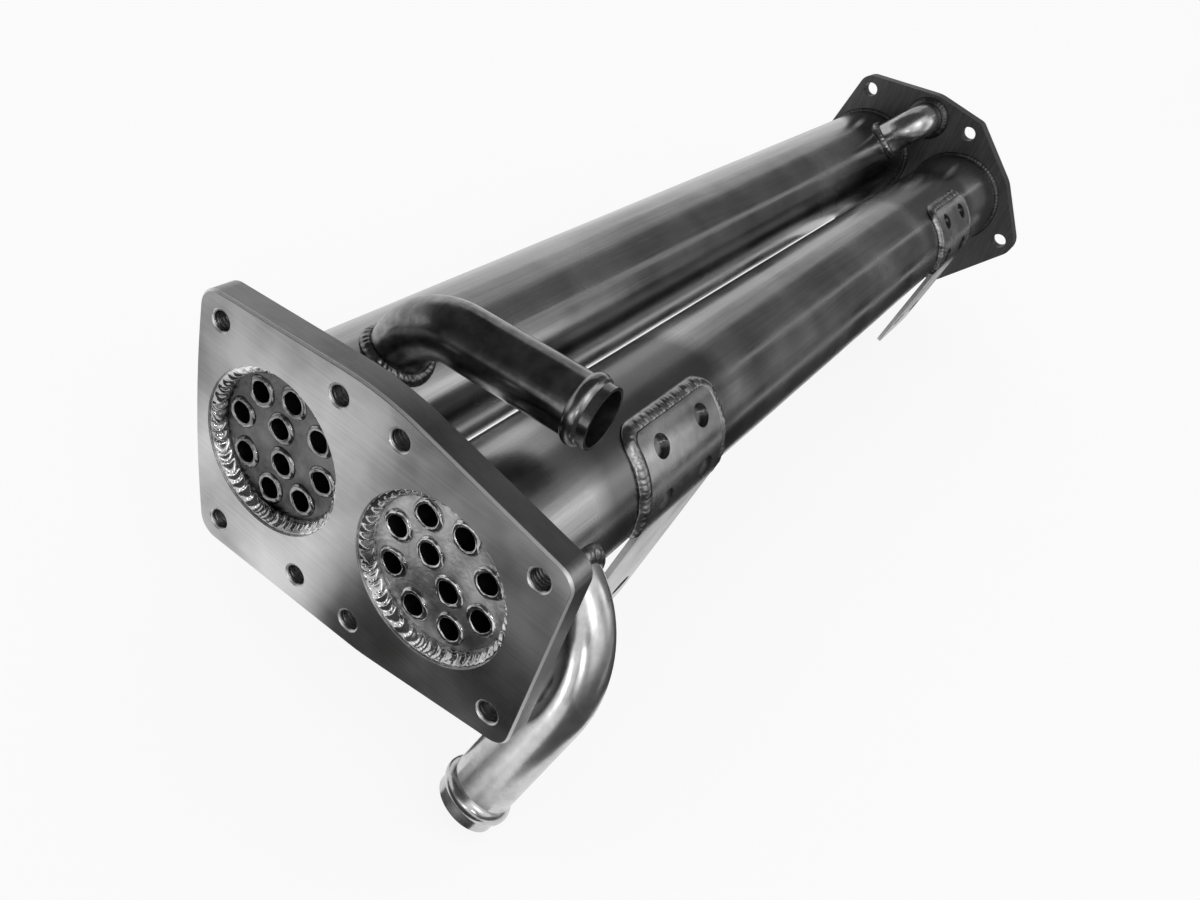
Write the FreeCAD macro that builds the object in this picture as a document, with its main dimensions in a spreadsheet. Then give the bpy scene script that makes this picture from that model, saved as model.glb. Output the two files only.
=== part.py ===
"""Twin-shell exhaust gas cooler: a parametric FreeCAD document.

Exhaust gas runs through ten small tubes in each of two round shells, and coolant runs round the
tubes inside the shells. The origin lies midway between the two shell axes, on the outer face of the
front flange. +X runs along the shells to the rear flange, +Y to the left shell and +Z up.
"""
import FreeCAD, Part
import math
import os
import Sketcher

from FreeCAD import Placement, Rotation, Vector

# Driving dimensions in millimetres and degrees. A clock angle turns about +X, from +Y towards +Z.
DIMENSIONS = {
    # shells and the distance between the flanges
    "shell_diameter": 76.2,
    "shell_wall": 1.6,
    "shell_pitch": 90.0,
    "flange_gap": 703.0,
    # flanges
    "flange_thickness": 13.0,
    "front_edge_bevel": 1.0,
    "bore_clearance": 0.1,
    "thread_core": 10.2,
    "thread_mouth": 0.6,
    "rear_hole": 12.5,
    # tube sheets and gas tubes
    "sheet_recess": 6.8,
    "sheet_thickness": 3.2,
    "tubes_across_shell": 6,
    "gas_tube_wall": 0.5,
    "gas_tube_clearance": 0.05,
    "gas_tube_stand": 0.6,
    "ring_count": 8,
    "ring_share": 0.3255,
    "inner_share": 0.1102,
    "left_ring_clock": 3.9,
    "left_inner_clock": 73.7,
    "right_ring_clock": 15.4,
    "right_inner_clock": 39.3,
    # baffles
    "baffle_count": 3,
    "baffle_thickness": 1.5,
    "baffle_clearance": 0.2,
    "baffle_hole_clearance": 0.1,
    "baffle_window": 17.0,
    # coolant pipes
    "pipe_diameter": 28.6,
    "pipe_wall": 1.5,
    "bead_height": 2.1,
    "bead_radius": 4.5,
    "bead_setback": 8.0,
    "upper_station": 57.9,
    "upper_clock": 104.6,
    "upper_swing": -87.2,
    "upper_rise": 63.3,
    "upper_bend": 73.1,
    "upper_bend_radius": 31.0,
    "upper_tail": 93.3,
    "lower_station": 54.7,
    "lower_clock": 180.7,
    "lower_swing": -114.1,
    "lower_rise": 68.3,
    "lower_bend": 101.1,
    "lower_bend_radius": 46.0,
    "lower_tail": 114.2,
    # rear elbows, which end inside the rear flange
    "elbow_setback": 34.0,
    "elbow_across": 6.4,
    "elbow_gap": 6.6,
    "elbow_bend_radius": 17.0,
    "elbow_seat": 8.0,
    # saddle brackets
    "bracket_width": 68.2,
    "bracket_sheet": 3.0,
    "bracket_top": 62.0,
    "bracket_foot": -10.0,
    "bracket_corner": 6.0,
    "front_bracket_station": 102.5,
    "rear_bracket_station": 550.7,
    "front_leg": 105.0,
    "rear_leg": 77.0,
    "plug_hole": 12.0,
    "plug_spacing": 38.1,
    "plug_upper": 46.0,
    "plug_lower": 7.7,
    "foot_hole": 13.0,
    "foot_hole_margin": 21.0,
    # welds
    "bore_weld": 4.8,
    "bore_weld_depth": 6.0,
    "shell_weld": 2.6,
    "tube_weld": 1.1,
    "pipe_weld": 3.6,
    "elbow_weld": 4.6,
    "bracket_weld": 7.5,
    "bracket_weld_height": 2.8,
    "weld_crown": 0.12,
    "plain_weld": 2.0,
}

# Sizes that follow from others, as formulas of the sheet.
DERIVED = {
    "gas_tube_diameter": "=shell_diameter / tubes_across_shell",
    "ring_radius": "=shell_diameter * ring_share",
    "inner_radius": "=shell_diameter * inner_share",
    "elbow_rise": "=(shell_diameter + pipe_diameter) / 2 + shell_weld + elbow_weld + elbow_gap",
    "elbow_clock": "=acos((elbow_across - shell_pitch / 2) / elbow_rise) / 1deg",
}

# Flange corners as (across, up) from the origin, in order round the outline, with corner radii.
FRONT_OUTLINE = {
    "front_upper_left": (97.9, 54.7, 10.0),
    "front_upper_bend": (-2.6, 64.5, 150.0),
    "front_upper_right": (-101.8, 46.7, 9.0),
    "front_lower_right": (-99.8, -49.0, 9.0),
    "front_lower_bend": (-23.7, -62.3, 100.0),
    "front_lower_left": (75.8, -68.4, 11.0),
}
REAR_OUTLINE = {
    "rear_upper_left": (73.9, 65.9, 11.0),
    "rear_upper_bend": (5.7, 75.8, 30.0),
    "rear_upper_right": (-38.5, 69.5, 8.0),
    "rear_side_bend": (-81.5, 32.0, 30.0),
    "rear_right_tip": (-115.0, -17.1, 15.0),
    "rear_lower_right": (-65.2, -80.0, 11.0),
    "rear_lower_bend": (22.0, -79.0, 60.0),
    "rear_lower_left": (99.0, -52.0, 11.0),
}
FRONT_HOLES = {
    "front_hole_one": (83.8, 43.4),
    "front_hole_two": (16.7, 49.7),
    "front_hole_three": (-15.5, 50.3),
    "front_hole_four": (-87.9, 36.8),
    "front_hole_five": (66.4, -55.3),
    "front_hole_six": (18.0, -50.3),
    "front_hole_seven": (-14.1, -50.3),
    "front_hole_eight": (-87.5, -37.6),
}
REAR_HOLES = {
    "rear_hole_one": (64.4, 54.6),
    "rear_hole_two": (-32.2, 56.9),
    "rear_hole_three": (-99.0, -16.6),
    "rear_hole_four": (-54.0, -66.0),
    "rear_hole_five": (30.0, -65.5),
    "rear_hole_six": (84.0, -43.5),
}
LEFT_EDGE_BULGE = 3.7

ALONG_X = Rotation(Vector(0, 1, 0), 90)
ALONG_Y = Rotation(Vector(1, 0, 0), -90)
PLATE_TO_WORLD = Rotation(Vector(1, 1, 1), 120)

doc = FreeCAD.newDocument("egr_cooler")
sheet = doc.addObject("Spreadsheet::Sheet", "dims")
parts = []


def fill_sheet():
    """Write every driving dimension into the sheet, one aliased cell each."""
    rows = dict(DIMENSIONS)
    for outline in (FRONT_OUTLINE, REAR_OUTLINE):
        for name, (across, up, radius) in outline.items():
            rows[name + "_across"] = across
            rows[name + "_up"] = up
            rows[name + "_round"] = radius
    for holes in (FRONT_HOLES, REAR_HOLES):
        for name, (across, up) in holes.items():
            rows[name + "_across"] = across
            rows[name + "_up"] = up
    rows["front_left_bulge"] = LEFT_EDGE_BULGE
    rows.update(DERIVED)
    for row, (name, value) in enumerate(rows.items(), start=1):
        sheet.set("A%d" % row, name)
        sheet.set("B%d" % row, str(value))
        sheet.setAlias("B%d" % row, name)
    doc.recompute()


def size(name):
    """Return one driving dimension from the sheet."""
    return float(sheet.get(name))


def bind(item, **expressions):
    """Bind properties of an object to expressions on the sheet."""
    for name, expression in expressions.items():
        item.setExpression(name.replace("__", "."), expression)
    return item


def keep(item, label):
    """Name a finished sub-part, whose label is also its file's name."""
    item.Label = label
    parts.append(item)
    return item


def cylinder(name, radius, length, start, across="0", up="0"):
    """Add a cylinder along +X whose sizes and place are expressions."""
    item = doc.addObject("Part::Cylinder", name)
    item.Placement = Placement(Vector(), ALONG_X)
    return bind(item, Radius=radius, Height=length, Placement__Base__x=start,
                Placement__Base__y=across, Placement__Base__z=up)


def cut(name, base, tool):
    """Cut one object from another."""
    item = doc.addObject("Part::Cut", name)
    item.Base = base
    item.Tool = tool
    return item


def fuse(name, shapes):
    """Fuse several objects."""
    item = doc.addObject("Part::MultiFuse", name)
    item.Shapes = shapes
    return item


def common(name, shapes):
    """Keep what several objects share."""
    item = doc.addObject("Part::MultiCommon", name)
    item.Shapes = shapes
    return item


def shape_feature(name, shape):
    """Add an object whose shape the calling code works out from the sheet."""
    item = doc.addObject("Part::Feature", name)
    item.Shape = shape
    return item


# Sketches and bodies of the flat plates


def plate_body(name, start):
    """Add a body whose sketch plane is a YZ plane of the world, at an X given by an expression."""
    body = doc.addObject("PartDesign::Body", name)
    body.Placement = Placement(Vector(), PLATE_TO_WORLD)
    return bind(body, Placement__Base__x=start)


def origin_item(body, role):
    """Return a plane or an axis of a body's own origin."""
    return next(item for item in body.Origin.OriginFeatures if item.Role == role)


def body_sketch(body, name):
    """Add a sketch on the XY plane of a body."""
    sketch = body.newObject("Sketcher::SketchObject", name)
    sketch.AttachmentSupport = (origin_item(body, "XY_Plane"), [""])
    sketch.MapMode = "FlatFace"
    return sketch


def drive(sketch, constraint, expression):
    """Add a driving constraint to a sketch and bind it to an expression."""
    index = sketch.addConstraint(constraint)
    sketch.setExpression("Constraints[%d]" % index, expression)


def drive_point(sketch, geometry, point, across, up, place):
    """Bind a point of a sketch to two expressions; place is where it starts."""
    drive(sketch, Sketcher.Constraint("DistanceX", -1, 1, geometry, point, place[0]), across)
    drive(sketch, Sketcher.Constraint("DistanceY", -1, 1, geometry, point, place[1]), up)


def drive_circle(sketch, across, up, radius, place=(1.0, 1.0)):
    """Add a circle whose centre and radius are expressions."""
    index = sketch.addGeometry(Part.Circle(Vector(place[0], place[1], 0), Vector(0, 0, 1), 1.0))
    drive_point(sketch, index, 3, across, up, place)
    drive(sketch, Sketcher.Constraint("Radius", index, 1.0), radius)


def outline_sketch(body, outline, bulged_edge=None):
    """Sketch a closed outline through its sharp corners; one edge may be an arc that bulges."""
    sketch = body_sketch(body, body.Name + "_outline")
    names = list(outline)
    corners = [Vector(size(name + "_across"), size(name + "_up"), 0) for name in names]
    count = len(names)
    for index in range(count):
        first = corners[index]
        second = corners[(index + 1) % count]
        if index == bulged_edge:
            chord = second - first
            outward = Vector(chord.y, -chord.x, 0).normalize() * size("front_left_bulge")
            arc = Part.Arc(first, (first + second) * 0.5 + outward, second)
            sketch.addGeometry(arc)
        else:
            sketch.addGeometry(Part.LineSegment(first, second))
    for index, name in enumerate(names):
        before = (index - 1) % count
        sketch.addConstraint(Sketcher.Constraint("Coincident", before, 2, index, 1))
        place = (corners[index].x, corners[index].y)
        drive_point(sketch, index, 1, "dims.%s_across" % name, "dims.%s_up" % name, place)
    if bulged_edge is not None:
        first = names[bulged_edge]
        second = names[(bulged_edge + 1) % count]
        chord_square = ("(dims.{0}_across - dims.{1}_across)^2 + (dims.{0}_up - dims.{1}_up)^2"
                        .format(first, second))
        radius = "(%s) / (8 * dims.front_left_bulge) + dims.front_left_bulge / 2" % chord_square
        chord = corners[(bulged_edge + 1) % count] - corners[bulged_edge]
        bulge = size("front_left_bulge")
        start_radius = chord.Length ** 2 / (8 * bulge) + bulge / 2
        drive(sketch, Sketcher.Constraint("Radius", bulged_edge, start_radius), radius)
    return sketch


def pad(body, sketch, name, length):
    """Pad a sketch along its normal."""
    item = body.newObject("PartDesign::Pad", name)
    item.Profile = sketch
    return bind(item, Length=length)


def pocket(body, sketch, name):
    """Pocket a sketch through the whole plate, which lies on the normal's side of the sketch."""
    item = body.newObject("PartDesign::Pocket", name)
    item.Profile = sketch
    item.Type = "ThroughAll"
    item.Reversed = True
    return item


def round_corners(body, outline):
    """Round each corner of a flange's outline by its own radius."""
    for name in outline:
        doc.recompute()
        base = body.Tip
        across = size(name + "_across")
        up = size(name + "_up")
        for number, edge in enumerate(base.Shape.Edges, start=1):
            ends = [vertex.Point for vertex in edge.Vertexes]
            if all(math.hypot(end.x - across, end.y - up) < 0.01 for end in ends):
                item = body.newObject("PartDesign::Fillet", name + "_fillet")
                item.Base = (base, ["Edge%d" % number])
                bind(item, Radius="dims.%s_round" % name)
                break


def bevel(body, name, width, chosen):
    """Chamfer the edges of a body that a test picks."""
    doc.recompute()
    base = body.Tip
    edges = ["Edge%d" % number for number, edge in enumerate(base.Shape.Edges, start=1) if chosen(edge)]
    item = body.newObject("PartDesign::Chamfer", name)
    item.Base = (base, edges)
    return bind(item, Size=width)


def flat_at(edge, height):
    """Tell whether an edge lies in the plane at a height of its body."""
    return abs(edge.BoundBox.ZMin - height) < 1e-4 and abs(edge.BoundBox.ZMax - height) < 1e-4


def is_circle(edge, radius):
    """Tell whether an edge is a full circle of a radius."""
    return len(edge.Vertexes) == 1 and abs(edge.Curve.Radius - radius) < 1e-4


def shell_holes(body):
    """Pocket the two shell bores through a flange."""
    sketch = body_sketch(body, body.Name + "_bores")
    for sign, place in (("", 45.0), ("-", -45.0)):
        drive_circle(sketch, sign + "dims.shell_pitch / 2", "0",
                     "dims.shell_diameter / 2 + dims.bore_clearance", (place, 0.0))
    pocket(body, sketch, body.Name + "_bore_pocket")


def bolt_holes(body, holes, radius):
    """Pocket the bolt holes through a flange."""
    sketch = body_sketch(body, body.Name + "_bolts")
    for name, place in holes.items():
        drive_circle(sketch, "dims.%s_across" % name, "dims.%s_up" % name, radius, place)
    pocket(body, sketch, body.Name + "_bolt_pocket")


# Places that several sub-parts share, as expressions

REAR_FACE = "(dims.flange_thickness + dims.flange_gap)"
REAR_END = "(2 * dims.flange_thickness + dims.flange_gap)"
SHELL_START = "(dims.sheet_recess + dims.sheet_thickness)"
SHELL_END = "(%s - %s)" % (REAR_END, SHELL_START)
SIDES = {"left": 1, "right": -1}


def side_axis(side):
    """Return the expression of a shell axis's Y."""
    return "%d * dims.shell_pitch / 2" % SIDES[side]


def tube_places(side):
    """Return the gas tubes' places in one shell as pairs of expressions."""
    places = []
    for index in range(int(size("ring_count"))):
        turn = "(dims.%s_ring_clock + 360 * %d / dims.ring_count) * 1deg" % (side, index)
        places.append(("dims.ring_radius", turn))
    for index in range(2):
        turn = "(dims.%s_inner_clock + 180 * %d) * 1deg" % (side, index)
        places.append(("dims.inner_radius", turn))
    axis = side_axis(side)
    return [("%s + %s * cos(%s)" % (axis, radius, turn), "%s * sin(%s)" % (radius, turn))
            for radius, turn in places]


# Flanges


def make_front_flange():
    """Make the front flange, whose left edge bows outwards and whose bolt holes are tapped."""
    body = plate_body("front_flange_body", "0")
    sketch = outline_sketch(body, FRONT_OUTLINE, bulged_edge=len(FRONT_OUTLINE) - 1)
    pad(body, sketch, "front_flange_pad", "dims.flange_thickness")
    round_corners(body, FRONT_OUTLINE)
    bevel(body, "front_flange_bevel", "dims.front_edge_bevel", lambda edge: flat_at(edge, 0))
    shell_holes(body)
    bolt_holes(body, FRONT_HOLES, "dims.thread_core / 2")
    core = size("thread_core") / 2
    bevel(body, "front_flange_mouths", "dims.thread_mouth",
          lambda edge: flat_at(edge, 0) and is_circle(edge, core))
    keep(body, "front_flange")


def elbow_place(side):
    """Return where an elbow meets the rear flange, as (across, up) expressions."""
    sign = SIDES[side]
    across = "%d * (dims.shell_pitch / 2 + dims.elbow_rise * cos(dims.elbow_clock * 1deg))" % sign
    up = "%d * dims.elbow_rise * sin(dims.elbow_clock * 1deg)" % sign
    return across, up


def make_rear_flange():
    """Make the rear flange, with drilled bolt holes and a port for each coolant elbow."""
    body = plate_body("rear_flange_body", REAR_FACE)
    sketch = outline_sketch(body, REAR_OUTLINE)
    pad(body, sketch, "rear_flange_pad", "dims.flange_thickness")
    round_corners(body, REAR_OUTLINE)
    shell_holes(body)
    bolt_holes(body, REAR_HOLES, "dims.rear_hole / 2")
    ports = body_sketch(body, "rear_flange_ports")
    for side, sign in SIDES.items():
        across, up = elbow_place(side)
        drive_circle(ports, across, up, "dims.pipe_diameter / 2 + dims.bore_clearance",
                     (sign * 6.0, sign * 50.0))
    pocket(body, ports, "rear_flange_port_pocket")
    keep(body, "rear_flange")


# Coolant pipes


def pipe_placement(side, station, clock, swing):
    """Return the frame of a pipe: origin on the shell's axis, Y out of the shell, X to the bend."""
    place = Vector(station, SIDES[side] * size("shell_pitch") / 2, 0)
    turn = Rotation(Vector(1, 0, 0), clock).multiply(Rotation(Vector(0, 1, 0), swing))
    return Placement(place, turn)


class Pipe:
    """A bent coolant tube that stands on a shell: its path, its outer and its inner sweep."""

    def __init__(self, name, side, station, clock, swing, rise, bend, bend_radius, tail):
        self.name = name
        self.side = side
        self.frame = pipe_placement(side, station, clock, swing)
        self.rise = rise
        self.bend = bend
        self.bend_radius = bend_radius
        self.tail = tail
        self.spine = self.make_spine()
        self.outer = self.sweep("outer", "dims.pipe_diameter / 2")
        self.inner = self.sweep("inner", "dims.pipe_diameter / 2 - dims.pipe_wall")

    def make_spine(self):
        """Sketch the path: straight out of the shell, one bend, straight to the end."""
        sketch = doc.addObject("Sketcher::SketchObject", self.name + "_path")
        sketch.Placement = self.frame
        rise, bend, radius, tail = (doc_value(text) for text in
                                    (self.rise, self.bend, self.bend_radius, self.tail))
        turn = math.radians(bend)
        lost = radius * math.tan(turn / 2)
        foot = Vector()
        knee = Vector(0, rise - lost, 0)
        centre = knee + Vector(radius, 0, 0)
        away = Vector(math.sin(turn), math.cos(turn), 0)
        heel = centre + Vector(-radius * math.cos(turn), radius * math.sin(turn), 0)
        tip = heel + away * (tail - lost)
        circle = Part.Circle(centre, Vector(0, 0, 1), radius)
        sketch.addGeometry(Part.LineSegment(foot, knee))
        sketch.addGeometry(Part.ArcOfCircle(circle, math.pi - turn, math.pi))
        sketch.addGeometry(Part.LineSegment(heel, tip))
        sketch.addConstraint(Sketcher.Constraint("Vertical", 0))
        sketch.addConstraint(Sketcher.Constraint("Coincident", 0, 1, -1, 1))
        sketch.addConstraint(Sketcher.Constraint("Tangent", 0, 2, 1, 2))
        sketch.addConstraint(Sketcher.Constraint("Tangent", 1, 1, 2, 1))
        lost_text = "%s * tan(%s * 0.5deg)" % (self.bend_radius, self.bend)
        drive(sketch, Sketcher.Constraint("DistanceY", -1, 1, 0, 2, knee.y),
              "%s - %s" % (self.rise, lost_text))
        drive(sketch, Sketcher.Constraint("Radius", 1, radius), self.bend_radius)
        drive(sketch, Sketcher.Constraint("Angle", 1, turn), "%s * 1deg" % self.bend)
        drive(sketch, Sketcher.Constraint("Distance", 2, tail - lost),
              "%s - %s" % (self.tail, lost_text))
        self.tip = self.frame.multVec(tip)
        self.away = self.frame.Rotation.multVec(away)
        return sketch

    def sweep(self, layer, radius):
        """Sweep a round section along the path."""
        section = doc.addObject("Part::Circle", "%s_%s_section" % (self.name, layer))
        section.Placement = self.frame.multiply(Placement(Vector(), ALONG_Y))
        bind(section, Radius=radius)
        item = doc.addObject("Part::Sweep", "%s_%s" % (self.name, layer))
        item.Sections = [section]
        item.Spine = (self.spine, ["Edge1", "Edge2", "Edge3"])
        item.Solid = True
        item.Frenet = False
        return item

    def shell_block(self, layer, radius):
        """Add a stretch of the shell's cylinder round the pipe's foot."""
        item = doc.addObject("Part::Cylinder", "%s_%s" % (self.name, layer))
        start = self.frame.Base - Vector(size("pipe_diameter"), 0, 0)
        item.Placement = Placement(start, ALONG_X)
        return bind(item, Radius=radius, Height="2 * dims.pipe_diameter")

    def make_weld(self, label, leg):
        """Make the weld round the foot, which follows the shell's curve."""
        ring = self.sweep("weld_ring", "dims.pipe_diameter / 2 + %s" % leg)
        crust = self.shell_block("weld_crust", "dims.shell_diameter / 2 + %s" % leg)
        block = common(self.name + "_weld_block", [ring, crust])
        core = self.shell_block("weld_core", "dims.shell_diameter / 2")
        above = cut(self.name + "_weld_above", block, core)
        keep(cut(self.name + "_weld", above, self.outer), label)

    def finish(self, label, beaded):
        """Hollow the tube, seat it on the shell and add the hose bead."""
        skin = self.outer
        if beaded:
            bead = doc.addObject("Part::Torus", self.name + "_bead")
            centre = self.tip - self.away * size("bead_setback")
            bead.Placement = Placement(centre, Rotation(Vector(0, 0, 1), self.away))
            bind(bead, Radius1="dims.pipe_diameter / 2 + dims.bead_height - dims.bead_radius",
                 Radius2="dims.bead_radius")
            skin = fuse(self.name + "_skin", [self.outer, bead])
        hollow = cut(self.name + "_hollow", skin, self.inner)
        seat = self.shell_block("seat", "dims.shell_diameter / 2")
        keep(cut(self.name + "_seated", hollow, seat), label)


def doc_value(expression):
    """Return the number that an expression on the sheet stands for."""
    return float(sheet.evalExpression(expression))


def make_pipes():
    """Make the coolant pipes and elbows, with their welds, and return them all."""
    pipes = []
    for name, side in (("upper", "left"), ("lower", "right")):
        pipe = Pipe(name, side, size(name + "_station"), size(name + "_clock"), size(name + "_swing"),
                    "dims.%s_rise" % name, "dims.%s_bend" % name,
                    "dims.%s_bend_radius" % name, "dims.%s_tail" % name)
        pipe.finish(name + "_coolant_pipe", beaded=True)
        pipe.make_weld(name + "_pipe_weld", "dims.pipe_weld")
        pipes.append(pipe)
    station = size("flange_thickness") + size("flange_gap") - size("elbow_setback")
    for side in SIDES:
        clock = size("elbow_clock")
        if side == "right":
            clock += 180
        pipe = Pipe(side + "_elbow", side, station, clock, 0, "dims.elbow_rise", "90",
                    "dims.elbow_bend_radius", "dims.elbow_setback + dims.elbow_seat")
        pipe.finish(side + "_rear_elbow", beaded=False)
        pipe.make_weld(side + "_elbow_foot_weld", "dims.pipe_weld")
        pipes.append(pipe)
    return pipes


# Shells and what is inside them


def make_shells(pipes):
    """Make each shell as a round tube with an opening under each of its coolant pipes."""
    for side in SIDES:
        axis = side_axis(side)
        length = "%s - %s" % (SHELL_END, SHELL_START)
        skin = cylinder(side + "_shell_skin", "dims.shell_diameter / 2", length, SHELL_START, axis)
        room = cylinder(side + "_shell_room", "dims.shell_diameter / 2 - dims.shell_wall",
                        length, SHELL_START, axis)
        ports = [pipe.inner for pipe in pipes if pipe.side == side]
        keep(cut(side + "_shell_tube", skin, fuse(side + "_shell_tools", [room] + ports)), side + "_shell")


def make_tube_sheets():
    """Make the round plate at each end of each shell, drilled for the gas tubes."""
    for end, start in (("front", "dims.sheet_recess"), ("rear", SHELL_END)):
        for side in SIDES:
            name = "%s_%s_sheet" % (end, side)
            body = plate_body(name, start)
            bind(body, Placement__Base__y=side_axis(side))
            disc = body_sketch(body, name + "_disc")
            drive_circle(disc, "0", "0", "dims.shell_diameter / 2")
            pad(body, disc, name + "_pad", "dims.sheet_thickness")
            hole = "dims.gas_tube_diameter / 2 + dims.gas_tube_clearance"
            inner = body_sketch(body, name + "_inner_holes")
            for index in range(2):
                turn = "(dims.%s_inner_clock + 180 * %d) * 1deg" % (side, index)
                sign = 1 - 2 * index
                drive_circle(inner, "dims.inner_radius * cos(%s)" % turn,
                             "dims.inner_radius * sin(%s)" % turn, hole, (3.0 * sign, 8.0 * sign))
            pocket(body, inner, name + "_inner_pocket")
            ring = body_sketch(body, name + "_ring_hole")
            turn = "dims.%s_ring_clock * 1deg" % side
            drive_circle(ring, "dims.ring_radius * cos(%s)" % turn,
                         "dims.ring_radius * sin(%s)" % turn, hole, (24.0, 3.0))
            first = pocket(body, ring, name + "_ring_pocket")
            doc.recompute()
            pattern = body.newObject("PartDesign::PolarPattern", name + "_ring")
            pattern.Originals = [first]
            pattern.Axis = (origin_item(body, "Z_Axis"), [""])
            pattern.Angle = 360
            bind(pattern, Occurrences="dims.ring_count")
            body.Tip = pattern
            keep(body, "%s_%s_tube_sheet" % (end, side))


def make_gas_tubes():
    """Make the gas tubes, each one a sub-part of its own."""
    start = "dims.sheet_recess - dims.gas_tube_stand"
    length = "%s - 2 * (%s)" % (REAR_END, start)
    for side in SIDES:
        for number, (across, up) in enumerate(tube_places(side), start=1):
            name = "%s_gas_tube_%02d" % (side, number)
            skin = cylinder(name + "_skin", "dims.gas_tube_diameter / 2", length, start, across, up)
            room = cylinder(name + "_room", "dims.gas_tube_diameter / 2 - dims.gas_tube_wall",
                            length, start, across, up)
            keep(cut(name + "_wall", skin, room), name)


def make_baffles():
    """Make the baffle plates, whose windows face up and down in turn."""
    count = int(size("baffle_count"))
    radius = "dims.shell_diameter / 2 - dims.shell_wall - dims.baffle_clearance"
    for side in SIDES:
        axis = side_axis(side)
        discs = []
        for index in range(count):
            start = "%s + (%s - %s) * %d / (dims.baffle_count + 1) - dims.baffle_thickness / 2" % (
                SHELL_START, SHELL_END, SHELL_START, index + 1)
            disc = cylinder("%s_baffle_%d" % (side, index + 1), radius, "dims.baffle_thickness", start, axis)
            window = doc.addObject("Part::Box", "%s_window_%d" % (side, index + 1))
            bind(window, Length="2 * dims.baffle_thickness", Width="dims.shell_diameter",
                 Height="dims.shell_diameter / 2",
                 Placement__Base__x="%s - dims.baffle_thickness / 2" % start,
                 Placement__Base__y="%s - dims.shell_diameter / 2" % axis)
            if index % 2 == 0:
                bind(window, Placement__Base__z="dims.baffle_window")
            else:
                bind(window, Placement__Base__z="-dims.baffle_window - dims.shell_diameter / 2")
            discs.append(cut("%s_segment_%d" % (side, index + 1), disc, window))
        holes = [cylinder("%s_baffle_hole_%02d" % (side, number),
                          "dims.gas_tube_diameter / 2 + dims.baffle_hole_clearance",
                          "%s - %s" % (SHELL_END, SHELL_START), SHELL_START, across, up)
                 for number, (across, up) in enumerate(tube_places(side), start=1)]
        keep(cut(side + "_baffle_set", fuse(side + "_segments", discs),
                 fuse(side + "_baffle_holes", holes)), side + "_baffles")


# Saddle brackets


def on_shell(radius, lift):
    """Return a point of the right shell's section; lift is the angle above its outer side."""
    turn = math.radians(lift)
    axis = -size("shell_pitch") / 2
    return Vector(0, axis - radius * math.cos(turn), radius * math.sin(turn))


def shell_arc(radius, low, high):
    """Return an arc round the right shell's axis between two lifts."""
    return Part.Arc(on_shell(radius, low), on_shell(radius, (low + high) / 2), on_shell(radius, high)).toShape()


def make_bracket(name, station, leg):
    """Make a bracket: a strip that hugs the shell from its top edge and runs on as a flat leg."""
    inner = size("shell_diameter") / 2
    outer = inner + size("bracket_sheet")
    top = size("bracket_top")
    foot = size("bracket_foot")
    width = size("bracket_width")
    turn = math.radians(foot)
    down = Vector(0, -math.sin(turn), -math.cos(turn))
    inner_toe = on_shell(inner, foot) + down * leg
    outer_toe = on_shell(outer, foot) + down * leg
    edges = [
        shell_arc(inner, foot, top),
        Part.LineSegment(on_shell(inner, top), on_shell(outer, top)).toShape(),
        shell_arc(outer, foot, top),
        Part.LineSegment(on_shell(outer, foot), outer_toe).toShape(),
        Part.LineSegment(outer_toe, inner_toe).toShape(),
        Part.LineSegment(inner_toe, on_shell(inner, foot)).toShape(),
    ]
    strip = Part.Face(Part.Wire(Part.__sortEdges__(edges))).extrude(Vector(width, 0, 0))
    corners = [edge for edge in strip.Edges if is_corner(edge, inner_toe, outer_toe)
               or is_corner(edge, on_shell(inner, top), on_shell(outer, top))]
    strip = strip.makeFillet(size("bracket_corner"), corners)
    axis = Vector(0, -size("shell_pitch") / 2, 0)
    tools = []
    for shift in (-0.5, 0.5):
        across = width / 2 + shift * size("plug_spacing")
        for lift in (size("plug_upper"), size("plug_lower")):
            outward = on_shell(1.0, lift) - axis
            tools.append(Part.makeCylinder(size("plug_hole") / 2, 2 * outer,
                                           axis + Vector(across, 0, 0), outward))
        centre = (inner_toe + outer_toe) * 0.5 - down * size("foot_hole_margin")
        outward = outer_toe - inner_toe
        tools.append(Part.makeCylinder(size("foot_hole") / 2, 4 * outward.Length,
                                       centre + Vector(across, 0, 0) - outward * 2, outward))
    strip = strip.cut(Part.makeCompound(tools))
    strip.translate(Vector(station, 0, 0))
    keep(shape_feature(name + "_strip", strip), name)


def is_corner(edge, first, second):
    """Tell whether an edge spans the sheet between two points of the profile, at any X."""
    if len(edge.Vertexes) != 2:
        return False
    ends = [Vector(0, vertex.Point.y, vertex.Point.z) for vertex in edge.Vertexes]
    level = abs(edge.Vertexes[0].Point.x - edge.Vertexes[1].Point.x) < 1e-6
    straight = {ends[0].isEqual(first, 1e-4), ends[1].isEqual(second, 1e-4)} == {True}
    crossed = {ends[0].isEqual(second, 1e-4), ends[1].isEqual(first, 1e-4)} == {True}
    return level and (straight or crossed)


# Welds


def crowned(first, second, away_from):
    """Return the weld's outer face line between two toes; a weld with wide legs bows outwards."""
    chord = second - first
    if chord.Length < size("plain_weld"):
        return Part.LineSegment(first, second).toShape()
    middle = (first + second) * 0.5
    outward = middle - away_from
    outward = outward - chord * (outward.dot(chord) / chord.dot(chord))
    bow = outward.normalize() * chord.Length * size("weld_crown")
    return Part.Arc(first, middle + bow, second).toShape()


def weld_face(root, first, second):
    """Return a fillet weld's section from its root and its two toes."""
    edges = [Part.LineSegment(root, first).toShape(), crowned(first, second, root),
             Part.LineSegment(second, root).toShape()]
    return Part.Face(Part.Wire(edges))


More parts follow.
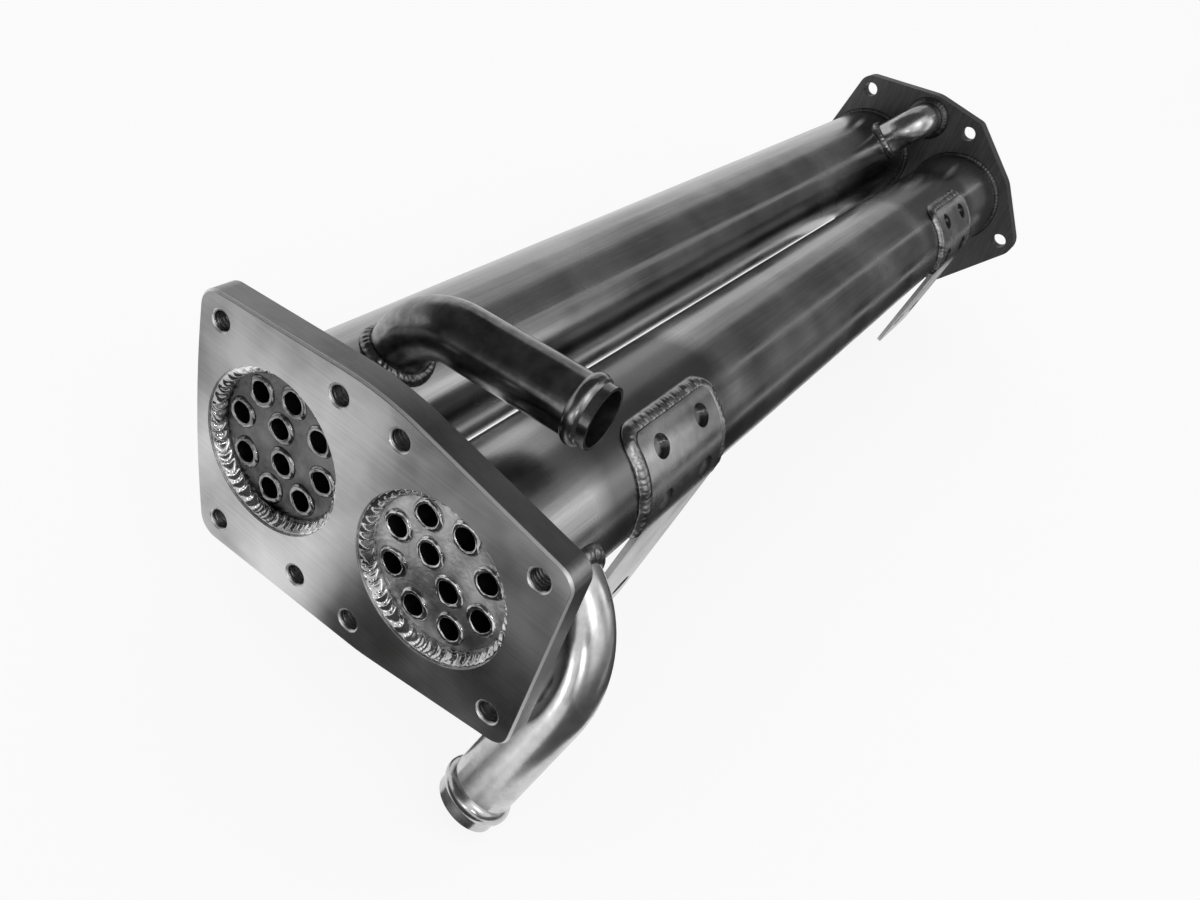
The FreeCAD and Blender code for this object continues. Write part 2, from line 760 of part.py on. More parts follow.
def weld_ring(station, radius, along, across, centre):
    """Return a round weld: its root circle, and how far it reaches along X and across."""
    root = Vector(station, radius, 0)
    face = weld_face(root, root + Vector(along, 0, 0), root + Vector(0, across, 0))
    ring = face.revolve(Vector(), Vector(1, 0, 0), 360)
    ring.translate(Vector(0, centre[0], centre[1]))
    return ring


def make_round_welds():
    """Make the welds in the bores, round the shells and round the elbows at the rear flange."""
    thickness = size("flange_thickness")
    rear_face = thickness + size("flange_gap")
    rear_end = rear_face + thickness
    bore = size("shell_diameter") / 2 + size("bore_clearance")
    leg = size("bore_weld")
    depth = size("bore_weld_depth")
    back = size("shell_weld")
    for side, sign in SIDES.items():
        centre = (sign * size("shell_pitch") / 2, 0)
        rings = {
            "front_%s_bore_weld": (size("sheet_recess"), bore, -depth, -leg),
            "rear_%s_bore_weld": (rear_end - size("sheet_recess"), bore, depth, -leg),
            "front_%s_shell_weld": (thickness, size("shell_diameter") / 2, back, back),
            "rear_%s_shell_weld": (rear_face, size("shell_diameter") / 2, -back, back),
        }
        for label, (station, radius, along, across) in rings.items():
            name = label % side
            keep(shape_feature(name + "_ring", weld_ring(station, radius, along, across, centre)), name)
        turn = math.radians(size("elbow_clock"))
        elbow = (sign * (size("shell_pitch") / 2 + size("elbow_rise") * math.cos(turn)),
                 sign * size("elbow_rise") * math.sin(turn))
        leg_out = size("elbow_weld")
        ring = weld_ring(rear_face, size("pipe_diameter") / 2, -leg_out, leg_out, elbow)
        keep(shape_feature(side + "_elbow_port_ring", ring), side + "_elbow_port_weld")


def make_tube_welds():
    """Make the small welds round the gas tubes' mouths, one group at each tube sheet."""
    rear_end = 2 * size("flange_thickness") + size("flange_gap")
    ends = {"front": (size("sheet_recess"), -1), "rear": (rear_end - size("sheet_recess"), 1)}
    for end, (station, outward) in ends.items():
        for side in SIDES:
            rings = []
            for across, up in tube_places(side):
                centre = (doc_value(across), doc_value(up))
                rings.append(weld_ring(station, size("gas_tube_diameter") / 2,
                                       outward * size("gas_tube_stand"), size("tube_weld"), centre))
            name = "%s_%s_tube_welds" % (end, side)
            keep(shape_feature(name + "_rings", Part.makeCompound(rings)), name)


def make_bracket_weld(name, station):
    """Make a bracket's welds: one round the shell at each side edge, and one along its top edge."""
    shell = size("shell_diameter") / 2
    width = size("bracket_width")
    leg = size("bracket_weld")
    height = size("bracket_weld_height")
    top = size("bracket_top")
    foot = size("bracket_foot")
    corner = math.degrees(size("bracket_corner") / shell)
    axis = Vector(0, -size("shell_pitch") / 2, 0)
    beads = []
    for start, outward in ((station, -1), (station + width, 1)):
        root = Vector(start, 0, 0) + on_shell(shell, foot)
        rise = (on_shell(shell + height, foot) - on_shell(shell, foot))
        face = weld_face(root, root + Vector(outward * leg, 0, 0), root + rise)
        beads.append(face.revolve(axis, Vector(-1, 0, 0), top - corner - foot))
    seam_top = top + math.degrees(leg / shell)
    toe = on_shell(shell, seam_top)
    crest = on_shell(shell + height, top)
    edges = [
        shell_arc(shell, top, seam_top),
        crowned(toe, crest, on_shell(shell, top)),
        Part.LineSegment(crest, on_shell(shell, top)).toShape(),
    ]
    seam = Part.Face(Part.Wire(Part.__sortEdges__(edges)))
    seam = seam.extrude(Vector(width - 2 * size("bracket_corner"), 0, 0))
    seam.translate(Vector(station + size("bracket_corner"), 0, 0))
    beads.append(seam)
    keep(shape_feature(name + "_beads", Part.makeCompound(beads)), name)


def check_document():
    """Stop if an object failed to build or a sub-part's shape is empty or wrong."""
    for item in doc.Objects:
        if "Invalid" in item.State or "Error" in item.State:
            raise RuntimeError("%s did not build: %s" % (item.Name, item.State))
    for item in parts:
        if item.Shape.isNull() or not item.Shape.isValid() or item.Shape.Volume <= 0:
            raise RuntimeError("%s has no valid shape" % item.Label)


def write_parts():
    """Write each sub-part to its own file."""
    os.makedirs("parts", exist_ok=True)
    for item in parts:
        item.Shape.exportStep(os.path.join("parts", item.Label + ".step"))


fill_sheet()
make_front_flange()
make_rear_flange()
make_shells(make_pipes())
make_tube_sheets()
make_gas_tubes()
make_baffles()
make_bracket("front_bracket", size("front_bracket_station"), size("front_leg"))
make_bracket("rear_bracket", size("rear_bracket_station"), size("rear_leg"))
make_round_welds()
make_tube_welds()
make_bracket_weld("front_bracket_weld", size("front_bracket_station"))
make_bracket_weld("rear_bracket_weld", size("rear_bracket_station"))
doc.recompute()
check_document()
write_parts()
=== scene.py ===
"""Looks of a twin-shell exhaust gas cooler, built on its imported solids.

The solids keep their shape and get finishes. The weld beads with their ripples, the screw threads and the
studio are built here.
"""
import logging
import math
from dataclasses import dataclass, field
from enum import Enum
from typing import Callable, ClassVar, Optional, Sequence, Union

import bmesh
import bpy
import numpy as np
from mathutils import Matrix, Vector


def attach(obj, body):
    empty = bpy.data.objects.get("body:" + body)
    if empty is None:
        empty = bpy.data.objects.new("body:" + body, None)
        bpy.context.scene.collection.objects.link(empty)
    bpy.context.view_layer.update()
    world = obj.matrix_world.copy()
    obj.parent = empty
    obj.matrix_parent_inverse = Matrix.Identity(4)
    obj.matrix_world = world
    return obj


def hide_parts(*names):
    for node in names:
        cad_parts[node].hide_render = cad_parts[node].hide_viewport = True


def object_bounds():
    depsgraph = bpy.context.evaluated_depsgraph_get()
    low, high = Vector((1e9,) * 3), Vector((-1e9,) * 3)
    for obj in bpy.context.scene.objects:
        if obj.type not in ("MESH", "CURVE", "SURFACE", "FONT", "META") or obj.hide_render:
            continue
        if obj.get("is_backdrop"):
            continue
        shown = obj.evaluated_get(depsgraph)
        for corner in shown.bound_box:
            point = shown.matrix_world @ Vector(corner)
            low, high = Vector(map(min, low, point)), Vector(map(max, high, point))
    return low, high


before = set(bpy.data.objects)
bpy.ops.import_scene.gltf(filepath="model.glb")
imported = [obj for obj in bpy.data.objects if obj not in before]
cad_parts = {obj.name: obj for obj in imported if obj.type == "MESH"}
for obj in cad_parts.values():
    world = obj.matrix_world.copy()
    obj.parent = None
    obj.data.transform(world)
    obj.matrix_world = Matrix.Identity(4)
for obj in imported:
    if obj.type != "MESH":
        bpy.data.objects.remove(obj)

log = logging.getLogger("egr_cooler")

MM = 0.001
BODY = "root"
SHELL_RADIUS = 38.1
HALF_PITCH = 45.0

Socket = bpy.types.NodeSocket
Colour = tuple[float, float, float, float]
Point = tuple[float, float, float]
Spot = tuple[float, float]
Number = Union[float, "Wire"]
SocketValue = Union["Wire", float, Sequence[float]]


def grey(value: float) -> Colour:
    """Return an opaque grey."""
    return (value, value, value, 1.0)


WHITE = grey(1.0)
BLACK = grey(0.0)


def unit(vector: np.ndarray) -> np.ndarray:
    """Return a vector scaled to length one."""
    return vector / np.linalg.norm(vector)


def circle_point(radius: float, clock: float) -> np.ndarray:
    """Return a point of a circle round +X; the clock turns from +Y towards +Z, in radians."""
    return np.array([0.0, radius * math.cos(clock), radius * math.sin(clock)])


class Labelled(Enum):
    """A choice whose members name nodes."""

    @property
    def label(self) -> str:
        """Return the word that the nodes' names use."""
        return self.name.lower()


class Side(Labelled):
    """The two shells; the value is the sign of Y on their side."""

    LEFT = 1
    RIGHT = -1


class End(Labelled):
    """The two ends of the shells; the value is the sign of X on the way out."""

    FRONT = -1
    REAR = 1


# Shader building


class Wire:
    """One output of a shader node, with arithmetic that adds Math nodes."""

    def __init__(self, builder: "NodeBuilder", socket: Socket) -> None:
        """Wrap a socket of a node tree."""
        self.builder = builder
        self.socket = socket

    def _math(self, operation: str, first: Number, second: Number) -> "Wire":
        """Return the result of one new Math node."""
        return self.builder.add("ShaderNodeMath", {"operation": operation}, {0: first, 1: second})

    def __add__(self, other: Number) -> "Wire":
        """Add."""
        return self._math("ADD", self, other)

    def __radd__(self, other: float) -> "Wire":
        """Add to a number."""
        return self._math("ADD", other, self)

    def __sub__(self, other: Number) -> "Wire":
        """Subtract."""
        return self._math("SUBTRACT", self, other)

    def __rsub__(self, other: float) -> "Wire":
        """Subtract from a number."""
        return self._math("SUBTRACT", other, self)

    def __mul__(self, other: Number) -> "Wire":
        """Multiply."""
        return self._math("MULTIPLY", self, other)

    def __rmul__(self, other: float) -> "Wire":
        """Multiply a number."""
        return self._math("MULTIPLY", other, self)

    def clamp(self) -> "Wire":
        """Return the value held between 0 and 1."""
        return self.builder.add("ShaderNodeClamp", {}, {"Value": self})


class NodeBuilder:
    """Adds nodes to one node tree."""

    def __init__(self, tree: bpy.types.NodeTree, output_kind: str) -> None:
        """Empty a tree and give it its output node.

        Args:
            tree: the node tree.
            output_kind: the output node's type.
        """
        self.tree = tree
        self.tree.nodes.clear()
        self.output = self.tree.nodes.new(output_kind)

    def add(self, kind: str, settings: dict, inputs: dict, output: Union[int, str] = 0) -> Wire:
        """Add any node.

        Args:
            kind: the node's type.
            settings: attributes set before the sockets; "stops" fills a colour ramp.
            inputs: a value or a wire for each socket, by name or number.
            output: the output to return.

        Returns:
            The chosen output.
        """
        node = self.tree.nodes.new(kind)
        for name, value in settings.items():
            if name == "stops":
                self._fill_ramp(node, value)
            else:
                setattr(node, name, value)
        for name, value in inputs.items():
            self.join(value, node.inputs[name])
        return Wire(self, node.outputs[output])

    def _fill_ramp(self, node: bpy.types.Node, stops: Sequence[tuple[float, Colour]]) -> None:
        """Write the two stops of a new colour ramp.

        Args:
            node: the ramp's node.
            stops: the place and the colour of each stop.
        """
        for index, (place, colour) in enumerate(stops):
            stop = node.color_ramp.elements[index]
            stop.position = place
            stop.color = colour

    def join(self, value: SocketValue, target: Socket) -> None:
        """Link a wire to a socket, or set the socket's own value.

        Args:
            value: the wire or the value.
            target: the socket.
        """
        if isinstance(value, Wire):
            self.tree.links.new(value.socket, target)
        else:
            target.default_value = value

    def seen_plainly(self) -> Wire:
        """Return 1 for rays of the camera, of mirror surfaces and of clear ones, and 0 for the rest."""
        names = ("Is Camera Ray", "Is Glossy Ray", "Is Transmission Ray")
        rays = [self.add("ShaderNodeLightPath", {}, {}, name) for name in names]
        return sum(rays[1:], rays[0]).clamp()


class ShaderBuilder(NodeBuilder):
    """Builds one material from expressions on wires."""

    def __init__(self, name: str) -> None:
        """Start an empty material with a principled shader.

        Args:
            name: the material's name.
        """
        self.material = bpy.data.materials.new(name)
        self.material.use_nodes = True
        super().__init__(self.material.node_tree, "ShaderNodeOutputMaterial")
        self.surface = self.tree.nodes.new("ShaderNodeBsdfPrincipled")
        self.tree.links.new(self.surface.outputs["BSDF"], self.output.inputs["Surface"])

    def place(self) -> Wire:
        """Return the surface point in the part's own frame."""
        return self.add("ShaderNodeTexCoord", {}, {}, "Object")

    def coordinate(self, place: Wire, axis: str) -> Wire:
        """Return one coordinate of a point; the axis is X, Y or Z."""
        return self.add("ShaderNodeSeparateXYZ", {}, {"Vector": place}, axis)

    def vector(self, operation: str, inputs: dict, output: Union[int, str] = 0) -> Wire:
        """Return the result of one new Vector Math node."""
        return self.add("ShaderNodeVectorMath", {"operation": operation}, inputs, output)

    def stretch(self, place: Wire, scale: Point) -> Wire:
        """Return a point with its axes scaled."""
        return self.add("ShaderNodeMapping", {}, {"Vector": place, "Scale": scale})

    def noise(self, place: Wire, scale: float, detail: float, roughness: float = 0.5) -> Wire:
        """Return a noise value between 0 and 1."""
        inputs = {"Vector": place, "Scale": scale, "Detail": detail, "Roughness": roughness}
        return self.add("ShaderNodeTexNoise", {}, inputs)

    def ramp(self, value: Wire, stops: Sequence[tuple[float, Colour]]) -> Wire:
        """Return a colour picked from a ramp."""
        return self.add("ShaderNodeValToRGB", {"stops": stops}, {"Fac": value})

    def blend(self, share: Wire, first: SocketValue, second: SocketValue) -> Wire:
        """Return a colour between two others, the second where the share is 1.

        The Mix node's colour sockets go by number, because it has several of each name.

        Args:
            share: the second colour's share.
            first: the first colour.
            second: the second colour.

        Returns:
            The mixed colour.
        """
        return self.add("ShaderNodeMix", {"data_type": "RGBA"}, {0: share, 6: first, 7: second}, 2)

    def spread(self, value: Wire, low: float, high: float, to_low: float, to_high: float) -> Wire:
        """Return a value moved from one range to another and held inside it.

        Args:
            value: the value.
            low: where the first range starts.
            high: where it ends.
            to_low: where the second range starts.
            to_high: where it ends.

        Returns:
            The moved value.
        """
        inputs = {"Value": value, "From Min": low, "From Max": high, "To Min": to_low, "To Max": to_high}
        return self.add("ShaderNodeMapRange", {"clamp": True}, inputs)

    def rising(self, value: Wire, start: float, end: float) -> Wire:
        """Return a mask that rises from 0 to 1 between two values."""
        return self.spread(value, start, end, 0.0, 1.0)

    def falling(self, value: Wire, start: float, end: float) -> Wire:
        """Return a mask that falls from 1 to 0 between two values."""
        return self.spread(value, start, end, 1.0, 0.0)

    def bump(self, height: Wire, strength: float, distance: float) -> Wire:
        """Return a normal bent by a height."""
        inputs = {"Height": height, "Strength": strength, "Distance": distance}
        return self.add("ShaderNodeBump", {}, inputs)

    def set(self, name: str, value: SocketValue) -> None:
        """Set or link one socket of the principled shader."""
        self.join(value, self.surface.inputs[name])


# Pipe geometry


@dataclass(frozen=True)
class Section:
    """A fillet weld's section at one place: its root and its two toes, in metres."""

    root: np.ndarray
    first: np.ndarray
    second: np.ndarray


@dataclass(frozen=True)
class BentPipe:
    """A tube that leaves a shell, bends once and runs on, with the sizes of the solids.

    Attributes:
        side: the shell that it leaves.
        station: where along X it leaves, in mm.
        clock: the way it leaves round the shell's axis, from +Y towards +Z, in degrees.
        swing: the turn of its bend round its first straight run, in degrees.
        rise: from the shell's axis to where its two straight runs would meet, in mm.
        bend: how far it bends, in degrees.
        bend_radius: the radius of its centre line in the bend, in mm.
        tail: the straight run behind the bend, in mm.
        radius: its outer radius, in mm.
    """

    FARTHEST_RUN: ClassVar[float] = 75.0
    HALVINGS: ClassVar[int] = 40

    side: Side
    station: float
    clock: float
    swing: float
    rise: float
    bend: float
    bend_radius: float
    tail: float = 0.0
    radius: float = 14.3

    @property
    def straight(self) -> float:
        """Return the length of the centre line from the shell's axis to the bend, in mm."""
        return self.rise - self.bend_radius * math.tan(math.radians(self.bend) / 2)

    @property
    def length(self) -> float:
        """Return the length of the whole centre line, in mm."""
        return self.straight + self.bend_radius * math.radians(self.bend) + self.tail

    def frame(self) -> tuple[np.ndarray, np.ndarray]:
        """Return the pipe's origin on the shell's axis, in metres, and its turn."""
        clock = Matrix.Rotation(math.radians(self.clock), 3, "X")
        swing = Matrix.Rotation(math.radians(self.swing), 3, "Y")
        return np.array([self.station, self.side.value * HALF_PITCH, 0.0]) * MM, np.array(clock @ swing)

    def surface(self, run: float, angle: float, radius: float) -> np.ndarray:
        """Return a point of the tube's wall.

        Args:
            run: the distance along the centre line from the shell's axis, in mm.
            angle: the angle round the centre line, in radians.
            radius: the distance from the centre line, in mm.

        Returns:
            The point in the part's frame, in metres.
        """
        straight = self.straight
        if run <= straight:
            middle = np.array([0.0, run, 0.0])
            inward = np.array([1.0, 0.0, 0.0])
        else:
            turned = min((run - straight) / self.bend_radius, math.radians(self.bend))
            inward = np.array([math.cos(turned), -math.sin(turned), 0.0])
            middle = np.array([self.bend_radius * (1 - math.cos(turned)),
                               straight + self.bend_radius * math.sin(turned), 0.0])
            past = run - straight - self.bend_radius * turned
            middle = middle + past * np.array([math.sin(turned), math.cos(turned), 0.0])
        local = middle + radius * (math.cos(angle) * inward + math.sin(angle) * np.array([0.0, 0.0, 1.0]))
        origin, turn = self.frame()
        return origin + turn @ local * MM

    def tip(self) -> Point:
        """Return the middle of the hose end, in metres."""
        return tuple(self.surface(self.length, 0.0, 0.0))

    def axis(self) -> Point:
        """Return the way that the hose end points."""
        before = self.surface(self.length - 1.0, 0.0, 0.0)
        return tuple(unit(self.surface(self.length, 0.0, 0.0) - before))

    def shell_crossing(self, angle: float, radius: float) -> float:
        """Find where a line of the tube's wall comes out of the shell.

        Args:
            angle: the line's angle round the centre line, in radians.
            radius: its distance from the centre line, in mm.

        Returns:
            The run at the crossing, in mm.
        """
        axis = np.array([self.side.value * HALF_PITCH, 0.0]) * MM
        low, high = 0.0, self.FARTHEST_RUN
        for _ in range(self.HALVINGS):
            run = (low + high) / 2
            point = self.surface(run, angle, radius)
            if np.hypot(*(point[1:] - axis)) < SHELL_RADIUS * MM:
                low = run
            else:
                high = run
        return (low + high) / 2

    def foot_path(self, leg: float) -> Callable[[float], Section]:
        """Return the path of the weld round the pipe's foot.

        Args:
            leg: how far the weld reaches along the pipe and out from it, in mm.

        Returns:
            The function that gives the weld's section at a turn in 0..1.
        """

        def section(turn: float) -> Section:
            """Return the section at a turn in 0..1."""
            angle = 2 * math.pi * turn
            run = self.shell_crossing(angle, self.radius)
            root = self.surface(run, angle, self.radius)
            up = self.surface(run + leg, angle, self.radius)
            out = self.surface(self.shell_crossing(angle, self.radius + leg), angle, self.radius + leg)
            return Section(root, up, out)

        return section


UPPER_PIPE = BentPipe(Side.LEFT, station=57.9, clock=104.6, swing=-87.2,
                      rise=63.3, bend=73.1, bend_radius=31.0, tail=93.3)
LOWER_PIPE = BentPipe(Side.RIGHT, station=54.7, clock=180.7, swing=-114.1,
                      rise=68.3, bend=101.1, bend_radius=46.0, tail=114.2)


# Finishes


class Grain(Enum):
    """The way that fine scratches run, as the scale of their noise along X, Y and Z."""

    ALONG_X = (2.0, 90.0, 90.0)
    ALONG_Y = (60.0, 3.0, 90.0)
    ALONG_Z = (60.0, 60.0, 4.0)
    NONE = (18.0, 18.0, 18.0)


@dataclass(frozen=True)
class SteelFinish:
    """A bare steel finish: two greys that streak into each other, and fine scratches.

    Attributes:
        name: the material's name.
        light: the lighter grey.
        dark: the darker grey.
        roughness: the middle of the roughness range.
        scratch: the scratches' depth, in metres.
        patch_scale: how fine the cloudy patches are.
        grain: the way that streaks and scratches run.
        roughness_spread: the width of the roughness range.
        streak_share: the streaks' share of the tones; the rest is the patches'.
    """

    STREAK_STOPS: ClassVar[Spot] = (0.34, 0.66)
    STREAK_SCALE: ClassVar[float] = 9.0
    STREAK_DETAIL: ClassVar[float] = 4.0
    STREAK_ROUGHNESS: ClassVar[float] = 0.6
    PATCH_DETAIL: ClassVar[float] = 3.0
    PATCH_RANGE: ClassVar[Spot] = (0.3, 0.7)
    LEAST_ROUGHNESS: ClassVar[float] = 0.03
    SCRATCH_SCALE: ClassVar[float] = 30.0
    SCRATCH_DETAIL: ClassVar[float] = 2.0
    SCRATCH_STRENGTH: ClassVar[float] = 0.35

    name: str
    light: float
    dark: float
    roughness: float
    scratch: float
    patch_scale: float
    grain: Grain = Grain.NONE
    roughness_spread: float = 0.12
    streak_share: float = 0.6

    def two_greys(self, shader: ShaderBuilder, mixed: Wire, dark: float, light: float) -> Wire:
        """Return a colour that goes from one grey to another with a streak value between 0 and 1."""
        low, high = self.STREAK_STOPS
        return shader.ramp(mixed, ((low, grey(dark)), (high, grey(light))))

    def base_colour(self, shader: ShaderBuilder, place: Wire, mixed: Wire) -> Wire:
        """Return the colour at a surface point for a streak value between 0 and 1."""
        return self.two_greys(shader, mixed, self.dark, self.light)

    def base_roughness(self, shader: ShaderBuilder, place: Wire, rough: Wire) -> Wire:
        """Return the roughness at a surface point, given the one that follows the patches."""
        return rough

    def build(self) -> bpy.types.Material:
        """Build the material.

        Returns:
            The finished material.
        """
        shader = ShaderBuilder(self.name)
        place = shader.place()
        grained = shader.stretch(place, self.grain.value)
        streak = shader.noise(grained, self.STREAK_SCALE, self.STREAK_DETAIL, self.STREAK_ROUGHNESS)
        patch = shader.noise(place, self.patch_scale, self.PATCH_DETAIL)
        mixed = (streak * self.streak_share + patch * (1 - self.streak_share)).clamp()
        shader.set("Base Color", self.base_colour(shader, place, mixed))
        shader.set("Metallic", 1.0)
        low = max(self.roughness - self.roughness_spread / 2, self.LEAST_ROUGHNESS)
        rough = shader.spread(patch, *self.PATCH_RANGE, low, low + self.roughness_spread)
        shader.set("Roughness", self.base_roughness(shader, place, rough))
        fine = shader.noise(grained, self.SCRATCH_SCALE, self.SCRATCH_DETAIL)
        shader.set("Normal", shader.bump(fine, self.SCRATCH_STRENGTH, self.scratch))
        return shader.material


@dataclass(frozen=True)
class MilledPlateFinish(SteelFinish):
    """A plate whose outer face is milled bright while its edges keep a duller skin.

    Attributes:
        bevel_depth: how far behind X = 0 the bevel starts, in metres.
        face_depth: how far behind X = 0 the duller skin starts, in metres.
        bevel_fade: where the bevel's mask is full, as a multiple of its depth.
        face_fade: where the skin's mask is full, as a multiple of its depth.
        bevel_highlight_tone: the bevel's lighter grey, a painted highlight along the face's edge.
        bevel_roughness: the bevel's roughness.
        edge_light: the skin's lighter grey.
        edge_dark: the skin's darker grey.
    """

    bevel_depth: float = 0.00012
    face_depth: float = 0.0011
    bevel_fade: float = 1.5
    face_fade: float = 1.3
    # Painted highlight: the bevel's light grey.
    bevel_highlight_tone: float = 0.85
    bevel_roughness: float = 0.5
    edge_light: float = 0.38
    edge_dark: float = 0.20

    def base_colour(self, shader: ShaderBuilder, place: Wire, mixed: Wire) -> Wire:
        """Colour the milled face near X = 0, the bevel just behind it with a painted highlight, and then the
        edges.

        Args:
            shader: the builder of the material.
            place: the surface point.
            mixed: the streak value between 0 and 1.

        Returns:
            The colour.
        """
        face = super().base_colour(shader, place, mixed)
        edge = self.two_greys(shader, mixed, self.edge_dark, self.edge_light)
        depth = shader.coordinate(place, "X")
        bevel = shader.rising(depth, self.bevel_depth, self.bevel_depth * self.bevel_fade)
        behind = shader.rising(depth, self.face_depth, self.face_depth * self.face_fade)
        # The bevel's light grey is a painted highlight along the edge of the face.
        return shader.blend(behind, shader.blend(bevel, face, grey(self.bevel_highlight_tone)), edge)

    def base_roughness(self, shader: ShaderBuilder, place: Wire, rough: Wire) -> Wire:
        """Roughen the bevel alone.

        Args:
            shader: the builder of the material.
            place: the surface point.
            rough: the roughness that follows the patches.

        Returns:
            The roughness.
        """
        depth = shader.coordinate(place, "X")
        bevel = shader.rising(depth, self.bevel_depth, self.bevel_depth * self.bevel_fade)
        bevel = bevel * shader.falling(depth, self.face_depth, self.face_depth * self.face_fade)
        return rough * (1 - bevel) + bevel * self.bevel_roughness


@dataclass(frozen=True)
class ShellFinish(SteelFinish):
    """A shell whose skin is painted with shade round the brackets on the right side.

    Attributes:
        shaded_bands: where each band of painted shade starts and ends along X, in metres.
        shade_edge: how softly it starts and ends, in metres.
        shade_wobble: how much its edge wanders, in metres.
        side_edge: how far right of Y = 0 it is full, in metres.
        shade_tone: the painted shade's grey.
        shade_share: how much it covers.
    """

    # Bands of painted shade round the two brackets.
    shaded_bands: tuple[Spot, ...] = ((0.082, 0.186), (0.530, 0.634))
    shade_edge: float = 0.016
    shade_wobble: float = 0.03
    side_edge: float = 0.004
    shade_tone: float = 0.10
    shade_share: float = 0.7

    def base_colour(self, shader: ShaderBuilder, place: Wire, mixed: Wire) -> Wire:
        """Paint shade on the skin round the right shell's brackets.

        Args:
            shader: the builder of the material.
            place: the surface point.
            mixed: the streak value between 0 and 1.

        Returns:
            The colour.
        """
        skin = super().base_colour(shader, place, mixed)
        # Painted shade: darker bands round the brackets, on the right shell only.
        along = shader.coordinate(place, "X") + (mixed - 0.5) * self.shade_wobble
        across = shader.coordinate(place, "Y")
        share = shader.spread(across, -self.side_edge, 0.0, self.shade_share, 0.0)
        inside = [shader.rising(along, start - self.shade_edge, start)
                  * shader.falling(along, end, end + self.shade_edge) for start, end in self.shaded_bands]
        return shader.blend(share * sum(inside[1:], inside[0]), skin, grey(self.shade_tone))


@dataclass(frozen=True)
class PipeFinish(SteelFinish):
    """A pipe whose collar at the hose end is polished and painted lighter as a highlight, with a finish of
    its own in the bore.

    Attributes:
        pipe: the pipe, for the place of its hose end.
        collar_length: the collar's length, in metres.
        collar_fade: how softly the collar starts, in metres.
        collar_sheen_tone: its grey; on the upper pipe far lighter than the skin, partly a painted highlight.
        collar_roughness: its roughness.
        bore_radius: the radius inside which the bore's roughness holds, in metres.
        bore_fade: how softly it ends, in metres.
        bore_roughness: the bore's roughness.
    """

    pipe: BentPipe = UPPER_PIPE
    collar_length: float = 0.0125
    collar_fade: float = 0.002
    collar_sheen_tone: float = 0.78
    collar_roughness: float = 0.4
    bore_radius: float = 0.0131
    bore_fade: float = 0.0004
    bore_roughness: float = 0.3

    def from_tip(self, shader: ShaderBuilder, place: Wire) -> Wire:
        """Return the surface point counted from the middle of the hose end."""
        return shader.vector("SUBTRACT", {0: place, 1: self.pipe.tip()})

    def near_tip(self, shader: ShaderBuilder, place: Wire) -> Wire:
        """Return 1 on the collar and 0 on the rest of the pipe."""
        inputs = {0: self.from_tip(shader, place), 1: self.pipe.axis()}
        along = shader.vector("DOT_PRODUCT", inputs, "Value")
        return shader.rising(along, -self.collar_length, -self.collar_length + self.collar_fade)

    def base_colour(self, shader: ShaderBuilder, place: Wire, mixed: Wire) -> Wire:
        """Return the skin's colour, and the collar's near the tip."""
        skin = super().base_colour(shader, place, mixed)
        return shader.blend(self.near_tip(shader, place), skin, grey(self.collar_sheen_tone))

    def base_roughness(self, shader: ShaderBuilder, place: Wire, rough: Wire) -> Wire:
        """Set the roughness of the collar, and of the bore within the tail.

        Args:
            shader: the builder of the material.
            place: the surface point.
            rough: the roughness that follows the patches.

        Returns:
            The roughness.
        """
        across = shader.vector("CROSS_PRODUCT", {0: self.from_tip(shader, place), 1: self.pipe.axis()})
        radius = shader.vector("LENGTH", {0: across}, "Value")
        outside = shader.rising(radius, self.bore_radius, self.bore_radius + self.bore_fade)
        near = self.near_tip(shader, place)
        skin = rough * (1 - near) + near * self.collar_roughness
        return skin * outside + (1 - outside) * self.bore_roughness


